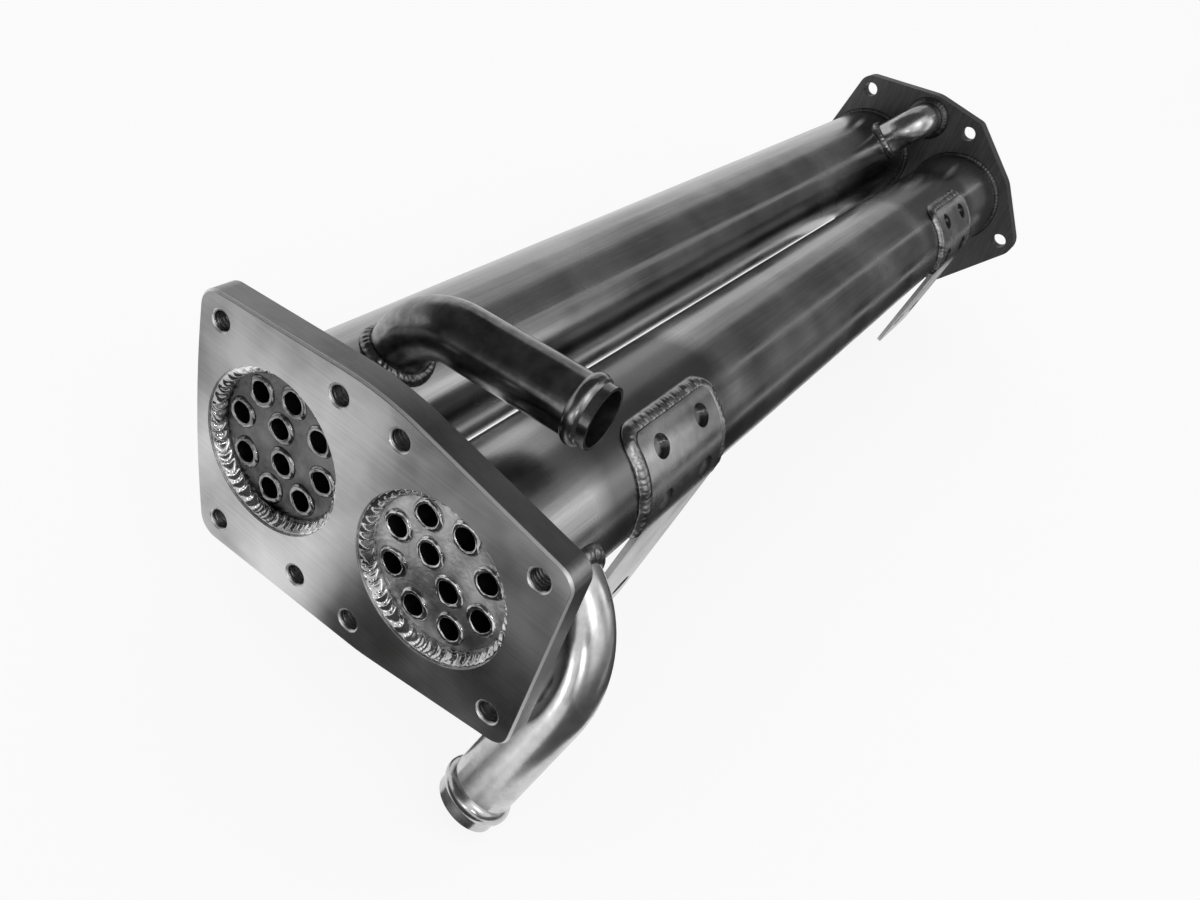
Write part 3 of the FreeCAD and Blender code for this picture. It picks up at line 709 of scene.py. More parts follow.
class Finish(Enum):
    """The finishes of the cooler's pieces."""

    FLANGE_FRONT = MilledPlateFinish(
        "milled_flange", light=0.76, dark=0.36, roughness=0.33, scratch=0.00002, patch_scale=22.0,
        grain=Grain.ALONG_Y, roughness_spread=0.14, streak_share=0.2)
    FLANGE_REAR = SteelFinish(
        "dull_flange", light=0.15, dark=0.08, roughness=0.5, scratch=0.00004, patch_scale=14.0,
        grain=Grain.ALONG_Z)
    SHELL = ShellFinish(
        "polished_shell", light=0.46, dark=0.24, roughness=0.23, scratch=0.000012, patch_scale=16.0,
        grain=Grain.ALONG_X, roughness_spread=0.14, streak_share=0.28)
    # The upper collar's near-white grey is partly a painted highlight.
    UPPER_PIPE = PipeFinish(
        "dark_polished_pipe", light=0.34, dark=0.12, roughness=0.22, scratch=0.00004, patch_scale=60.0,
        roughness_spread=0.14, pipe=UPPER_PIPE, collar_sheen_tone=0.95)
    LOWER_PIPE = PipeFinish(
        "satin_pipe", light=0.70, dark=0.46, roughness=0.24, scratch=0.00002, patch_scale=24.0,
        pipe=LOWER_PIPE, collar_sheen_tone=0.62)
    ELBOW = SteelFinish(
        "satin_elbow", light=0.60, dark=0.40, roughness=0.25, scratch=0.00002, patch_scale=24.0)
    BRACKET = SteelFinish(
        "satin_bracket", light=0.50, dark=0.28, roughness=0.24, scratch=0.00002, patch_scale=24.0,
        streak_share=0.3)
    LEFT_SHEET = SteelFinish(
        "dark_tube_sheet", light=0.22, dark=0.04, roughness=0.33, scratch=0.0004, patch_scale=50.0,
        roughness_spread=0.25, streak_share=0.25)
    # The right sheet's pale grey is partly its own tint and partly a painted sheen.
    RIGHT_SHEET = SteelFinish(
        "pale_tube_sheet_painted_sheen", light=0.95, dark=0.20, roughness=0.42, scratch=0.0008, patch_scale=30.0,
        roughness_spread=0.25, streak_share=0.25)
    GAS_TUBE = SteelFinish(
        "gas_tube_steel", light=0.16, dark=0.07, roughness=0.4, scratch=0.00003, patch_scale=30.0,
        grain=Grain.ALONG_X)
    BAFFLE = SteelFinish(
        "baffle_steel", light=0.3, dark=0.15, roughness=0.35, scratch=0.00003, patch_scale=30.0)
    WELD = SteelFinish(
        "weld_bead", light=0.92, dark=0.12, roughness=0.15, scratch=0.00008, patch_scale=50.0,
        roughness_spread=0.16, streak_share=0.35)
    RIGHT_LIP = SteelFinish(
        "bright_tube_lip", light=0.85, dark=0.12, roughness=0.15, scratch=0.00006, patch_scale=150.0,
        roughness_spread=0.16, streak_share=0.35)
    LEFT_LIP = SteelFinish(
        "dark_tube_lip", light=0.48, dark=0.10, roughness=0.2, scratch=0.00006, patch_scale=150.0,
        roughness_spread=0.16, streak_share=0.35)
    SATIN_WELD = SteelFinish(
        "satin_weld_bead", light=0.40, dark=0.18, roughness=0.27, scratch=0.00004, patch_scale=60.0)
    DARK_WELD = SteelFinish(
        "dark_weld_bead", light=0.26, dark=0.10, roughness=0.28, scratch=0.00004, patch_scale=60.0)
    # Rougher than the other welds, and darker as painted shade for the welds in the corners at the flanges.
    DULL_WELD = SteelFinish(
        "dull_weld_bead", light=0.16, dark=0.07, roughness=0.42, scratch=0.00004, patch_scale=90.0,
        roughness_spread=0.16)
    THREAD = SteelFinish(
        "cut_thread", light=0.4, dark=0.22, roughness=0.3, scratch=0.00002, patch_scale=90.0)


# Meshes


def linked(name: str, data: bpy.types.ID) -> bpy.types.Object:
    """Return a new object of the scene that shows some data.

    Args:
        name: the object's name.
        data: its mesh, lamp or camera.

    Returns:
        The new object.
    """
    item = bpy.data.objects.new(name, data)
    bpy.context.scene.collection.objects.link(item)
    return item


def mesh_object(name: str, points: Sequence[Sequence[float]], faces: Sequence[Sequence[int]],
                smooth: bool) -> bpy.types.Object:
    """Make an object of points and faces.

    Args:
        name: the object's name.
        points: its points, in metres.
        faces: the numbers of each face's points.
        smooth: whether the faces are shaded smooth.

    Returns:
        The new object.
    """
    mesh = bpy.data.meshes.new(name)
    mesh.from_pydata(points, [], faces)
    mesh.polygons.foreach_set("use_smooth", [smooth] * len(mesh.polygons))
    mesh.update()
    return linked(name, mesh)


def solid_from_grid(name: str, points: np.ndarray, closed: bool) -> bpy.types.Object:
    """Make an object from rows of points, each row a closed loop round the piece.

    Args:
        name: the object's name.
        points: an array of rows, loop points and coordinates, in metres.
        closed: whether the last row meets the first; if not, both ends are capped.

    Returns:
        The new object.
    """
    rows, loop, _ = points.shape
    faces = []
    last = rows if closed else rows - 1
    for row in range(last):
        here = row * loop
        there = (row + 1) % rows * loop
        for index in range(loop):
            right = (index + 1) % loop
            faces.append((here + index, here + right, there + right, there + index))
    if not closed:
        faces.append(tuple(reversed(range(loop))))
        faces.append(tuple((rows - 1) * loop + index for index in range(loop)))
    return mesh_object(name, points.reshape(-1, 3).tolist(), faces, smooth=True)


def face_outwards(item: bpy.types.Object) -> None:
    """Turn a closed mesh's faces outwards.

    Args:
        item: the object of the mesh.
    """
    work = bmesh.new()
    work.from_mesh(item.data)
    bmesh.ops.recalc_face_normals(work, faces=work.faces)
    work.to_mesh(item.data)
    work.free()


def join(items: Sequence[bpy.types.Object], name: str) -> bpy.types.Object:
    """Join several meshes into one object.

    Args:
        items: the objects, which are removed.
        name: the new object's name.

    Returns:
        The new object.
    """
    vertices = []
    faces = []
    for item in items:
        start = len(vertices)
        vertices += [tuple(vertex.co) for vertex in item.data.vertices]
        faces += [tuple(start + index for index in face.vertices) for face in item.data.polygons]
        bpy.data.objects.remove(item)
    return mesh_object(name, vertices, faces, smooth=True)


# Welds


@dataclass(frozen=True)
class Ripples:
    """How the ripples of a weld lie.

    Attributes:
        pitch: the distance from one ripple to the next, in metres.
        height: their height, in metres.
        crown: how far the face stands out, as a share of its width.
        sag: how far the ripples' middle trails behind their ends, in ripples.
        wander: how much the crown varies.
        unrest: how much the pitch varies.
        steps: the rows of points in each ripple.
        face_points: the points in each row across the face.
        steepness: the power that makes a ripple's front steep and its back long.
        level: the part of a ripple that lies below the face.
        swell: how much higher than their height the ripples are in the middle.
    """

    pitch: float
    height: float
    crown: float = 0.16
    sag: float = 0.6
    wander: float = 0.12
    unrest: float = 0.25
    steps: int = 8
    face_points: int = 9
    steepness: float = 0.6
    level: float = 0.5
    swell: float = 1.2

    def lift(self, phase: float) -> float:
        """Return the height at a phase in ripples, as a share of the ripples' height."""
        return math.sin(math.pi * (phase % 1.0) ** self.steepness) - self.level


class WeldKind(Enum):
    """The kinds of weld, by their ripples."""

    BORE = Ripples(pitch=0.0052, height=0.0009, crown=0.14, sag=0.9, wander=0.35)
    SHELL = Ripples(pitch=0.003, height=0.0004)
    TUBE = Ripples(pitch=0.0040, height=0.00012, crown=0.22, wander=0.6, steps=6, face_points=8)
    FOOT = Ripples(pitch=0.0028, height=0.0003, crown=0.2, wander=0.25)
    PORT = Ripples(pitch=0.003, height=0.0002)
    BRACKET = Ripples(pitch=0.003, height=0.00022, crown=0.2, sag=0.9, wander=0.3)


@dataclass
class WeldBead:
    """A fillet weld laid as overlapping ripples along a path.

    Attributes:
        name: the object's name.
        path: the function that gives the weld's section at a turn in 0..1.
        length: the path's length, in metres.
        kind: the kind of weld.
        seed: the seed of its unevenness.
        closed: whether the path's end meets its start.
    """

    LEAST_RIPPLES: ClassVar[int] = 3

    name: str
    path: Callable[[float], Section]
    length: float
    kind: WeldKind
    seed: int
    closed: bool = True

    def _row(self, turn: float, count: int, jitter: np.ndarray) -> np.ndarray:
        """Return one closed loop of points: root, then the rippled face from toe to toe.

        Args:
            turn: where the loop lies on the path, in 0..1.
            count: the number of ripples on the whole path.
            jitter: two rows of numbers, one per ripple, for the crown and the pitch.

        Returns:
            The points.
        """
        ripples = self.kind.value
        section = self.path(turn)
        chord = section.second - section.first
        width = float(np.linalg.norm(chord))
        middle = (section.first + section.second) / 2
        outward = middle - section.root
        outward = unit(outward - chord * (outward @ chord) / (chord @ chord))
        number = turn * count
        steps = np.arange(jitter.shape[1])
        uneven = 1.0 + ripples.wander * float(np.interp(number, steps, jitter[0]))
        shifted = number + ripples.unrest * float(np.interp(number, steps, jitter[1]))
        points = [section.root]
        for index in range(ripples.face_points):
            part = index / (ripples.face_points - 1)
            side = 2 * part - 1
            arch = 1 - side * side
            lift = width * ripples.crown * arch * uneven
            ripple = ripples.lift(shifted + ripples.sag * arch)
            lift += ripples.height * ripple * math.sqrt(arch) * ripples.swell
            points.append(section.first + chord * part + outward * lift)
        return np.array(points)

    def build(self) -> bpy.types.Object:
        """Build the bead's mesh.

        Returns:
            The bead as an object.
        """
        ripples = self.kind.value
        number = max(round(self.length / ripples.pitch), self.LEAST_RIPPLES)
        jitter = np.random.default_rng(self.seed).uniform(-1.0, 1.0, (2, number + 1))
        jitter[:, -1] = jitter[:, 0]
        count = number * ripples.steps
        last = count if self.closed else count + 1
        rows = [self._row(index / count, number, jitter) for index in range(last)]
        item = solid_from_grid(self.name, np.array(rows), self.closed)
        face_outwards(item)
        return item


def ring_path(centre: np.ndarray, radius: float, along: float, across: float) -> Callable[[float], Section]:
    """Return the path of a round weld whose axis runs along X.

    Args:
        centre: the middle of the root circle, in metres.
        radius: the root circle's radius, in mm.
        along: how far the weld reaches along X from the root, in mm.
        across: how far it reaches outwards, or inwards when below zero, in mm.

    Returns:
        The function that gives the weld's section at a turn in 0..1.
    """

    def section(turn: float) -> Section:
        """Return the section at a turn in 0..1."""
        clock = 2 * math.pi * turn
        root = centre + circle_point(radius * MM, clock)
        side = centre + circle_point(radius * MM + across * MM, clock)
        return Section(root, root + np.array([along * MM, 0.0, 0.0]), side)

    return section


# Pieces of the cooler


@dataclass
class CoolerSizes:
    """The sizes that the looks share with the solids, in mm and degrees."""

    bore_gap: float = 0.1
    flange: float = 13.0
    recess: float = 6.8
    rear_face: float = 716.0
    bore_weld: float = 4.8
    bore_weld_depth: float = 6.0
    shell_weld: float = 2.6
    pipe_weld: float = 3.6
    elbow_weld: float = 4.6
    tube_radius: float = 6.35
    tube_stand: float = 0.6
    lip_inside: float = 1.6
    lip_outside: float = 1.2
    lip_wobble: float = 0.3
    ring_count: int = 8
    ring_radius: float = 24.8
    inner_count: int = 2
    inner_radius: float = 8.4
    ring_clocks: dict[Side, float] = field(default_factory=lambda: {Side.LEFT: 3.9, Side.RIGHT: 15.4})
    inner_clocks: dict[Side, float] = field(default_factory=lambda: {Side.LEFT: 73.7, Side.RIGHT: 39.3})

    def sheet_face(self, end: End) -> float:
        """Return the X of the tube sheets' outer faces at one end."""
        return self.recess if end is End.FRONT else self.rear_face + self.flange - self.recess

    def flange_back(self, end: End) -> float:
        """Return the X of the inner face of one end's flange."""
        return self.flange if end is End.FRONT else self.rear_face

    def centre(self, side: Side, station: float) -> np.ndarray:
        """Return a point of a shell's axis, in metres."""
        return np.array([station, side.value * HALF_PITCH, 0.0]) * MM

    def tube_centres(self, side: Side, station: float) -> list[np.ndarray]:
        """Return the gas tubes' places in one shell.

        Args:
            side: the shell.
            station: the places' X, in mm.

        Returns:
            The places of the ring of tubes and then of the inner ones, in metres.
        """
        axis = self.centre(side, station)
        rings = ((self.ring_count, self.ring_radius, self.ring_clocks[side]),
                 (self.inner_count, self.inner_radius, self.inner_clocks[side]))
        return [axis + circle_point(radius * MM, math.radians(clock + 360.0 / count * index))
                for count, radius, clock in rings for index in range(count)]


class Piece:
    """A base for the parts of the scene: adds meshes to the part and gives them a finish."""

    materials: ClassVar[dict[Finish, bpy.types.Material]] = {}

    @classmethod
    def material(cls, finish: Finish) -> bpy.types.Material:
        """Return a finish's material, built once.

        Args:
            finish: the finish.

        Returns:
            The material.
        """
        if finish not in cls.materials:
            cls.materials[finish] = finish.value.build()
        return cls.materials[finish]

    def dress(self, finish: Finish, *nodes: str) -> None:
        """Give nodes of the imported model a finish.

        Args:
            finish: the finish.
            nodes: the names of the nodes.
        """
        for node in nodes:
            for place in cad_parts[node].material_slots:
                place.material = self.material(finish)
        log.info("dressed %s with %s", ", ".join(nodes), finish.value.name)

    def attach(self, item: bpy.types.Object, finish: Finish, record_slot: str, *nodes: str) -> None:
        """Put a new piece on the part.

        Args:
            item: the piece.
            finish: its finish.
            record_slot: not used.
            nodes: the names of the nodes that it stands for.
        """
        item.data.materials.clear()
        item.data.materials.append(self.material(finish))
        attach(item, BODY)
        if nodes:
            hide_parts(*nodes)
        log.info("attached %s", item.name)

    def build(self) -> None:
        """Build and dress the piece."""
        raise NotImplementedError


@dataclass
class Shells(Piece):
    """The two shells and what shows inside their ends."""

    sizes: CoolerSizes
    sheets: dict[Side, Finish] = field(
        default_factory=lambda: {Side.LEFT: Finish.LEFT_SHEET, Side.RIGHT: Finish.RIGHT_SHEET})

    def build(self) -> None:
        """Dress the shells, tube sheets, gas tubes and baffles."""
        self.dress(Finish.SHELL, "left_shell", "right_shell")
        self.dress(Finish.BAFFLE, "left_baffles", "right_baffles")
        tubes = range(1, self.sizes.ring_count + self.sizes.inner_count + 1)
        for side, finish in self.sheets.items():
            self.dress(finish, *("%s_%s_tube_sheet" % (end.label, side.label) for end in End))
            self.dress(Finish.GAS_TUBE, *("%s_gas_tube_%02d" % (side.label, number) for number in tubes))


@dataclass
class EndWelds(Piece):
    """The welds at both ends: in the bores, behind the flanges and round the gas tubes."""

    LIP_WAVES: ClassVar[int] = 4
    LIP_INNER_CALM: ClassVar[int] = 3

    sizes: CoolerSizes
    lips: dict[Side, Finish] = field(
        default_factory=lambda: {Side.LEFT: Finish.LEFT_LIP, Side.RIGHT: Finish.RIGHT_LIP})
    seeds: dict[tuple[End, Side], int] = field(default_factory=lambda: {
        (End.FRONT, Side.LEFT): 33, (End.FRONT, Side.RIGHT): 40,
        (End.REAR, Side.LEFT): 32, (End.REAR, Side.RIGHT): 39})

    def ring(self, name: str, centre: np.ndarray, radius: float, reach: Spot, kind: WeldKind,
             seed: int) -> bpy.types.Object:
        """Build one round weld.

        Args:
            name: the object's name.
            centre: the middle of its root circle, in metres.
            radius: the root circle's radius, in mm.
            reach: how far it reaches along X and outwards, in mm.
            kind: the kind of weld.
            seed: the seed of its unevenness.

        Returns:
            The weld.
        """
        path = ring_path(centre, radius, *reach)
        return WeldBead(name, path, 2 * math.pi * radius * MM, kind, seed).build()

    def build(self) -> None:
        """Build every round weld of the two ends."""
        sizes = self.sizes
        for (end, side), seed in self.seeds.items():
            name = "%s_%s" % (end.label, side.label)
            out = end.value
            reach = (out * sizes.bore_weld_depth, -sizes.bore_weld)
            weld = self.ring(name + "_bore_bead", sizes.centre(side, sizes.sheet_face(end)),
                             SHELL_RADIUS + sizes.bore_gap, reach, WeldKind.BORE, seed)
            self.attach(weld, Finish.WELD, "weld", name + "_bore_weld")
            reach = (-out * sizes.shell_weld, sizes.shell_weld)
            weld = self.ring(name + "_shell_bead", sizes.centre(side, sizes.flange_back(end)),
                             SHELL_RADIUS, reach, WeldKind.SHELL, seed + 1)
            # The shell welds behind the flanges get painted shade.
            self.attach(weld, Finish.DULL_WELD, "weld", name + "_shell_weld")
            self.tube_rings(name, end, side, seed)

    def lip_path(self, centre: np.ndarray, out: int, seed: int) -> Callable[[float], Section]:
        """Return the path of a weld that rolls over a gas tube's end from its bore to the sheet.

        Args:
            centre: the middle of the tube's end at the sheet, in metres.
            out: the sign of X on the way out.
            seed: the seed of the weld's unevenness.

        Returns:
            The function that gives the weld's section at a turn in 0..1.
        """
        sizes = self.sizes
        rise = np.array([out * sizes.tube_stand * MM, 0.0, 0.0])
        phases = np.random.default_rng(seed).uniform(0.0, 2 * math.pi, (2, self.LIP_WAVES))

        def uneven(clock: float, row: int) -> float:
            """Return a hand-laid weld's unevenness round the ring, about -1 to 1."""
            return sum(math.sin((wave + 1) * clock + phase) / 2 for wave, phase in enumerate(phases[row]))

        def section(turn: float) -> Section:
            """Return the section at a turn in 0..1."""
            clock = 2 * math.pi * turn
            root = centre + circle_point(sizes.tube_radius * MM, clock)
            inside = sizes.lip_inside * (1 + sizes.lip_wobble / self.LIP_INNER_CALM * uneven(clock, 0))
            outside = sizes.lip_outside * (1 + sizes.lip_wobble * uneven(clock, 1))
            inner = centre + circle_point((sizes.tube_radius - inside) * MM, clock) + rise
            outer = centre + circle_point((sizes.tube_radius + outside) * MM, clock)
            return Section(root, inner, outer)

        return section

    def tube_rings(self, name: str, end: End, side: Side, seed: int) -> None:
        """Build the small welds round the gas tubes at one tube sheet.

        Args:
            name: the tube sheet's end and side, as its nodes name them.
            end: its end.
            side: its shell.
            seed: the seed of the first ring; each next one adds 1.
        """
        length = 2 * math.pi * self.sizes.tube_radius * MM
        rings = []
        for index, centre in enumerate(self.sizes.tube_centres(side, self.sizes.sheet_face(end)), start=seed):
            path = self.lip_path(centre, end.value, index)
            rings.append(WeldBead("tube_ring", path, length, WeldKind.TUBE, index).build())
        self.attach(join(rings, name + "_tube_beads"), self.lips[side], "weld", name + "_tube_welds")


@dataclass
class FrontFlange(Piece):
    """The milled front flange and the threads of its screw holes. Lengths in mm."""

    sizes: CoolerSizes
    thread_radius: float = 5.08
    thread_depth: float = 0.55
    thread_pitch: float = 1.75
    thread_gap: float = 0.05
    mouth: float = 0.6
    steps: int = 36
    rows_per_pitch: int = 4
    holes: tuple[Spot, ...] = (
        (83.8, 43.4), (16.7, 49.7), (-15.5, 50.3), (-87.9, 36.8),
        (66.4, -55.3), (18.0, -50.3), (-14.1, -50.3), (-87.5, -37.6))

    def thread(self, across: float, up: float) -> bpy.types.Object:
        """Build the helical thread of one hole as a thin sleeve inside its wall.

        Args:
            across: the hole's Y.
            up: the hole's Z.

        Returns:
            The thread.
        """
        depth_of_hole = self.sizes.flange - self.mouth
        rows = int(depth_of_hole / self.thread_pitch * self.rows_per_pitch) + 1
        loops = []
        for index in range(self.steps):
            clock = 2 * math.pi * index / self.steps
            loop = []
            for row in range(rows + 1):
                along = self.mouth + depth_of_hole * row / rows
                phase = (along / self.thread_pitch + index / self.steps) % 1.0
                depth = self.thread_depth * (1 - abs(2 * phase - 1))
                point = circle_point(self.thread_radius - self.thread_gap - depth, clock)
                loop.append(point + np.array([along, across, up]))
            for along in (self.sizes.flange, self.mouth):
                loop.append(circle_point(self.thread_radius, clock) + np.array([along, across, up]))
            loops.append(loop)
        return solid_from_grid("thread", np.array(loops) * MM, closed=True)

    def build(self) -> None:
        """Dress the flange and cut its threads."""
        self.dress(Finish.FLANGE_FRONT, "front_flange")
        threads = [self.thread(across, up) for across, up in self.holes]
        whole = join(threads, "front_threads")
        face_outwards(whole)
        self.attach(whole, Finish.THREAD, "flange")


@dataclass
class RearFlange(Piece):
    """The rear flange, which keeps its dark skin."""

    def build(self) -> None:
        """Dress the flange."""
        self.dress(Finish.FLANGE_REAR, "rear_flange")


@dataclass
class CoolantPipes(Piece):
    """The bent coolant pipes and elbows with their welds. Lengths in mm, angles in degrees."""

    FIRST_ELBOW_SEED: ClassVar[int] = 5

    sizes: CoolerSizes
    elbow_station: float = 682.0
    elbow_clock: float = 125.7
    elbow_rise: float = 66.2
    elbow_bend: float = 90.0
    elbow_bend_radius: float = 17.0
    port_bead_radius: float = 16.5

    def foot(self, name: str, pipe: BentPipe, node: str, seed: int, finish: Finish) -> None:
        """Build the weld round one pipe's foot.

        Args:
            name: the object's name.
            pipe: the pipe.
            node: the node that the weld stands for.
            seed: the seed of its unevenness.
            finish: its finish.
        """
        length = 2 * math.pi * pipe.radius * MM
        bead = WeldBead(name, pipe.foot_path(self.sizes.pipe_weld), length, WeldKind.FOOT, seed).build()
        self.attach(bead, finish, "weld", node)

    def elbow(self, side: Side, seed: int) -> None:
        """Dress one rear elbow and build its welds.

        Args:
            side: the elbow's shell.
            seed: the seed of the welds' unevenness.
        """
        self.dress(Finish.ELBOW, side.label + "_rear_elbow")
        clock = self.elbow_clock + (0.0 if side is Side.LEFT else 180.0)
        pipe = BentPipe(side, self.elbow_station, clock, 0.0, self.elbow_rise, self.elbow_bend,
                        self.elbow_bend_radius)
        name = side.label + "_elbow"
        self.foot(name + "_foot_bead", pipe, name + "_foot_weld", seed, Finish.SATIN_WELD)
        axis = np.array([self.sizes.rear_face, side.value * HALF_PITCH, 0.0])
        offset = side.value * circle_point(self.elbow_rise, math.radians(self.elbow_clock))
        leg = self.sizes.elbow_weld
        path = ring_path((axis + offset) * MM, pipe.radius, -leg, leg)
        length = 2 * math.pi * self.port_bead_radius * MM
        bead = WeldBead(name + "_port_bead", path, length, WeldKind.PORT, seed).build()
        # The port weld at the rear flange gets painted shade.
        self.attach(bead, Finish.DULL_WELD, "weld", name + "_port_weld")

    def build(self) -> None:
        """Dress the pipes and build their welds."""
        self.dress(Finish.UPPER_PIPE, "upper_coolant_pipe")
        self.dress(Finish.LOWER_PIPE, "lower_coolant_pipe")
        self.foot("upper_foot_bead", UPPER_PIPE, "upper_pipe_weld", 3, Finish.DARK_WELD)
        self.foot("lower_foot_bead", LOWER_PIPE, "lower_pipe_weld", 4, Finish.SATIN_WELD)
        for seed, side in enumerate(Side, start=self.FIRST_ELBOW_SEED):
            self.elbow(side, seed)


@dataclass
class Bracket(Piece):
    """One saddle bracket on the right shell, with its weld.

    Attributes:
        name: the bracket's node.
        station: the X of its front edge, in mm.
        width: its width along the shell, in mm.
        weld: how far the weld reaches over the shell, in mm.
        weld_height: how far it reaches up the plate's edge, in mm.
        top: where the plate's top edge lies, in degrees up from the shell's outer side.
        foot: where the weld starts and ends, in the same degrees.
        corner: the radius of the plate's corners, in mm.
        seed: the seed of the weld's unevenness.
    """

    name: str
    station: float
    width: float = 68.2
    weld: float = 7.5
    weld_height: float = 2.8
    top: float = 62.0
    foot: float = -10.0
    corner: float = 6.0
    seed: int = 11

    def on_shell(self, along: float, lift: float, radius: float) -> np.ndarray:
        """Return a point over the shell from its place on the rolled-out shell.

        Args:
            along: the place's X, in mm.
            lift: how far up the shell from its outer side, in mm.
            radius: the distance from the shell's axis, in mm.

        Returns:
            The point, in metres.
        """
        turn = lift / SHELL_RADIUS
        across = -HALF_PITCH - radius * math.cos(turn)
        return np.array([along, across, radius * math.sin(turn)]) * MM

    def edge(self, run: float) -> tuple[float, float, float, float]:
        """Return a place on the plate's edge and the way out from it, as if the shell were rolled flat.

        Args:
            run: the distance along the edge, up one side, over the top and down the other side, in mm.

        Returns:
            The place along X and up the shell, in mm, then the way out along X and up.
        """
        foot = math.radians(self.foot) * SHELL_RADIUS
        high = math.radians(self.top) * SHELL_RADIUS - self.corner
        quarter = math.pi / 2 * self.corner
        rise = high - foot
        across = self.width - 2 * self.corner
        if run < rise:
            return self.station, foot + run, -1.0, 0.0
        run -= rise
        if run < quarter:
            out_along, out_lift = -math.cos(run / self.corner), math.sin(run / self.corner)
            along = self.station + self.corner * (1 + out_along)
            return along, high + self.corner * out_lift, out_along, out_lift
        run -= quarter
        if run < across:
            return self.station + self.corner + run, high + self.corner, 0.0, 1.0
        run -= across
        if run < quarter:
            out_along, out_lift = math.sin(run / self.corner), math.cos(run / self.corner)
            along = self.station + self.width - self.corner + self.corner * out_along
            return along, high + self.corner * out_lift, out_along, out_lift
        run -= quarter
        return self.station + self.width, high - run, 1.0, 0.0

    def bead(self) -> bpy.types.Object:
        """Build the weld that runs round the plate's two side edges and its top edge.

        Returns:
            The weld.
        """
        rise = math.radians(self.top - self.foot) * SHELL_RADIUS - self.corner
        length = 2 * rise + math.pi * self.corner + self.width - 2 * self.corner

        def section(turn: float) -> Section:
            """Return the section at a turn in 0..1."""
            along, lift, out_along, out_lift = self.edge(turn * length)
            toe = self.on_shell(along + out_along * self.weld, lift + out_lift * self.weld, SHELL_RADIUS)
            top = self.on_shell(along, lift, SHELL_RADIUS + self.weld_height)
            return Section(self.on_shell(along, lift, SHELL_RADIUS), toe, top)

        return WeldBead(self.name + "_beads", section, length * MM, WeldKind.BRACKET, self.seed,
                        closed=False).build()

    def build(self) -> None:
        """Dress the bracket and build its weld."""
        self.dress(Finish.BRACKET, self.name)
        self.attach(self.bead(), Finish.SATIN_WELD, "weld", self.name + "_weld")


# Studio


@dataclass(frozen=True)
class Card:
    """A grey card that only shows in reflections.

    A level card gives all its corners. An upright one gives the two ends of its foot, and its top.

    Attributes:
        name: the card's name.
        glow: how bright it looks in a mirror, where 1 is white.
        spots: the corners' X and Y, in metres.
        low: the height of these corners; without it they are at the floor.
        high: the height of an upright card's top.
    """

    name: str
    glow: float
    spots: tuple[Spot, ...]
    low: Optional[float] = None
    high: Optional[float] = None

    def corners(self, ground: float) -> list[Point]:
        """Return the card's corners in order.

        Args:
            ground: the height of cards at the floor.

        Returns:
            The corners, in metres.
        """
        low = ground if self.low is None else self.low
        corners = [(along, across, low) for along, across in self.spots]
        if self.high is not None:
            corners += [(along, across, self.high) for along, across in reversed(self.spots)]
        return corners


@dataclass(frozen=True)
class Lamp:
    """A soft square lamp. Lengths in metres."""

    name: str
    place: Point
    target: Point
    width: float
    watts: float


CARDS = (
    Card("ceiling", 0.07, ((-2.5, -0.45), (1.1, -0.45), (0.8, 2.6), (-2.5, 2.6)), low=1.1),
    Card("far_left_ceiling", 0.55, ((1.2, 0.45), (8.0, 1.2), (8.0, 2.6), (0.9, 2.6)), low=1.6),
    Card("far_right_ceiling", 0.17, ((1.3, -1.3), (8.0, -1.3), (8.0, 1.2), (1.2, 0.45)), low=1.6),
    Card("left_wall", 0.85, ((-1.8, 2.6), (8.0, 2.6)), high=1.1),
    Card("right_wall_front", 0.18, ((-2.5, -1.3), (-0.6, -1.3)), high=1.0),
    Card("right_skirting", 0.12, ((-0.6, -1.3), (0.45, -1.3)), high=0.14),
    Card("right_wall_middle", 0.4, ((0.45, -1.3), (1.0, -1.3)), high=1.0),
    Card("window", 1.9, ((1.35, -1.3), (1.8, -1.3)), low=0.45, high=1.0),
    Card("right_wall_back", 0.17, ((1.8, -1.3), (8.0, -1.3)), high=1.4),
    Card("front_wall", 0.08, ((-2.5, 0.8), (-2.5, 2.6)), high=1.1),
    Card("front_wall_middle", 0.3, ((-2.5, -0.3), (-2.5, 0.8)), low=0.35, high=1.1),
    Card("front_left_floor", 0.12, ((-2.5, 0.5), (-0.7, 0.4), (-0.5, 2.6), (-2.5, 2.6))),
    Card("right_floor", 0.05, ((0.12, -0.33), (6.0, -0.33), (6.0, -0.093), (0.12, -0.093))),
    Card("far_right_floor", 0.06, ((0.12, -1.3), (6.0, -1.3), (6.0, -0.40), (0.12, -0.40))),
    # A dark card under the shells: a painted shadow of the part on the floor, seen only in reflections.
    Card("under_floor_shadow", 0.04, ((0.03, -0.055), (0.7, -0.055), (0.7, 0.02), (0.03, 0.02))),
    Card("front_floor", 0.09, ((-1.6, -1.3), (0.12, -1.3), (0.12, -0.16), (-0.05, -0.16))),
    Card("near_floor", 0.055,
         ((-0.14, -0.13), (-0.01, -0.13), (-0.01, 0.02),
          (-0.09, 0.05), (-0.24, 0.14), (-0.22, 0.025))),
    Card("left_floor", 0.45, ((-0.5, 0.20), (0.0, 0.17), (0.0, 0.38), (-0.5, 0.38))),
)

LAMPS = (
    Lamp("key_lamp", place=(-0.5, -2.2, 2.0), target=(0.2, 0.0, 0.0), width=1.2, watts=7.0),
    Lamp("end_lamp", place=(-2.6, -0.35, 0.12), target=(0.0, -0.08, 0.0), width=0.3, watts=1.8),
    Lamp("glint_lamp", place=(-1.25, -1.15, 0.42), target=(0.0, -0.05, 0.0), width=0.12, watts=2.2),
)


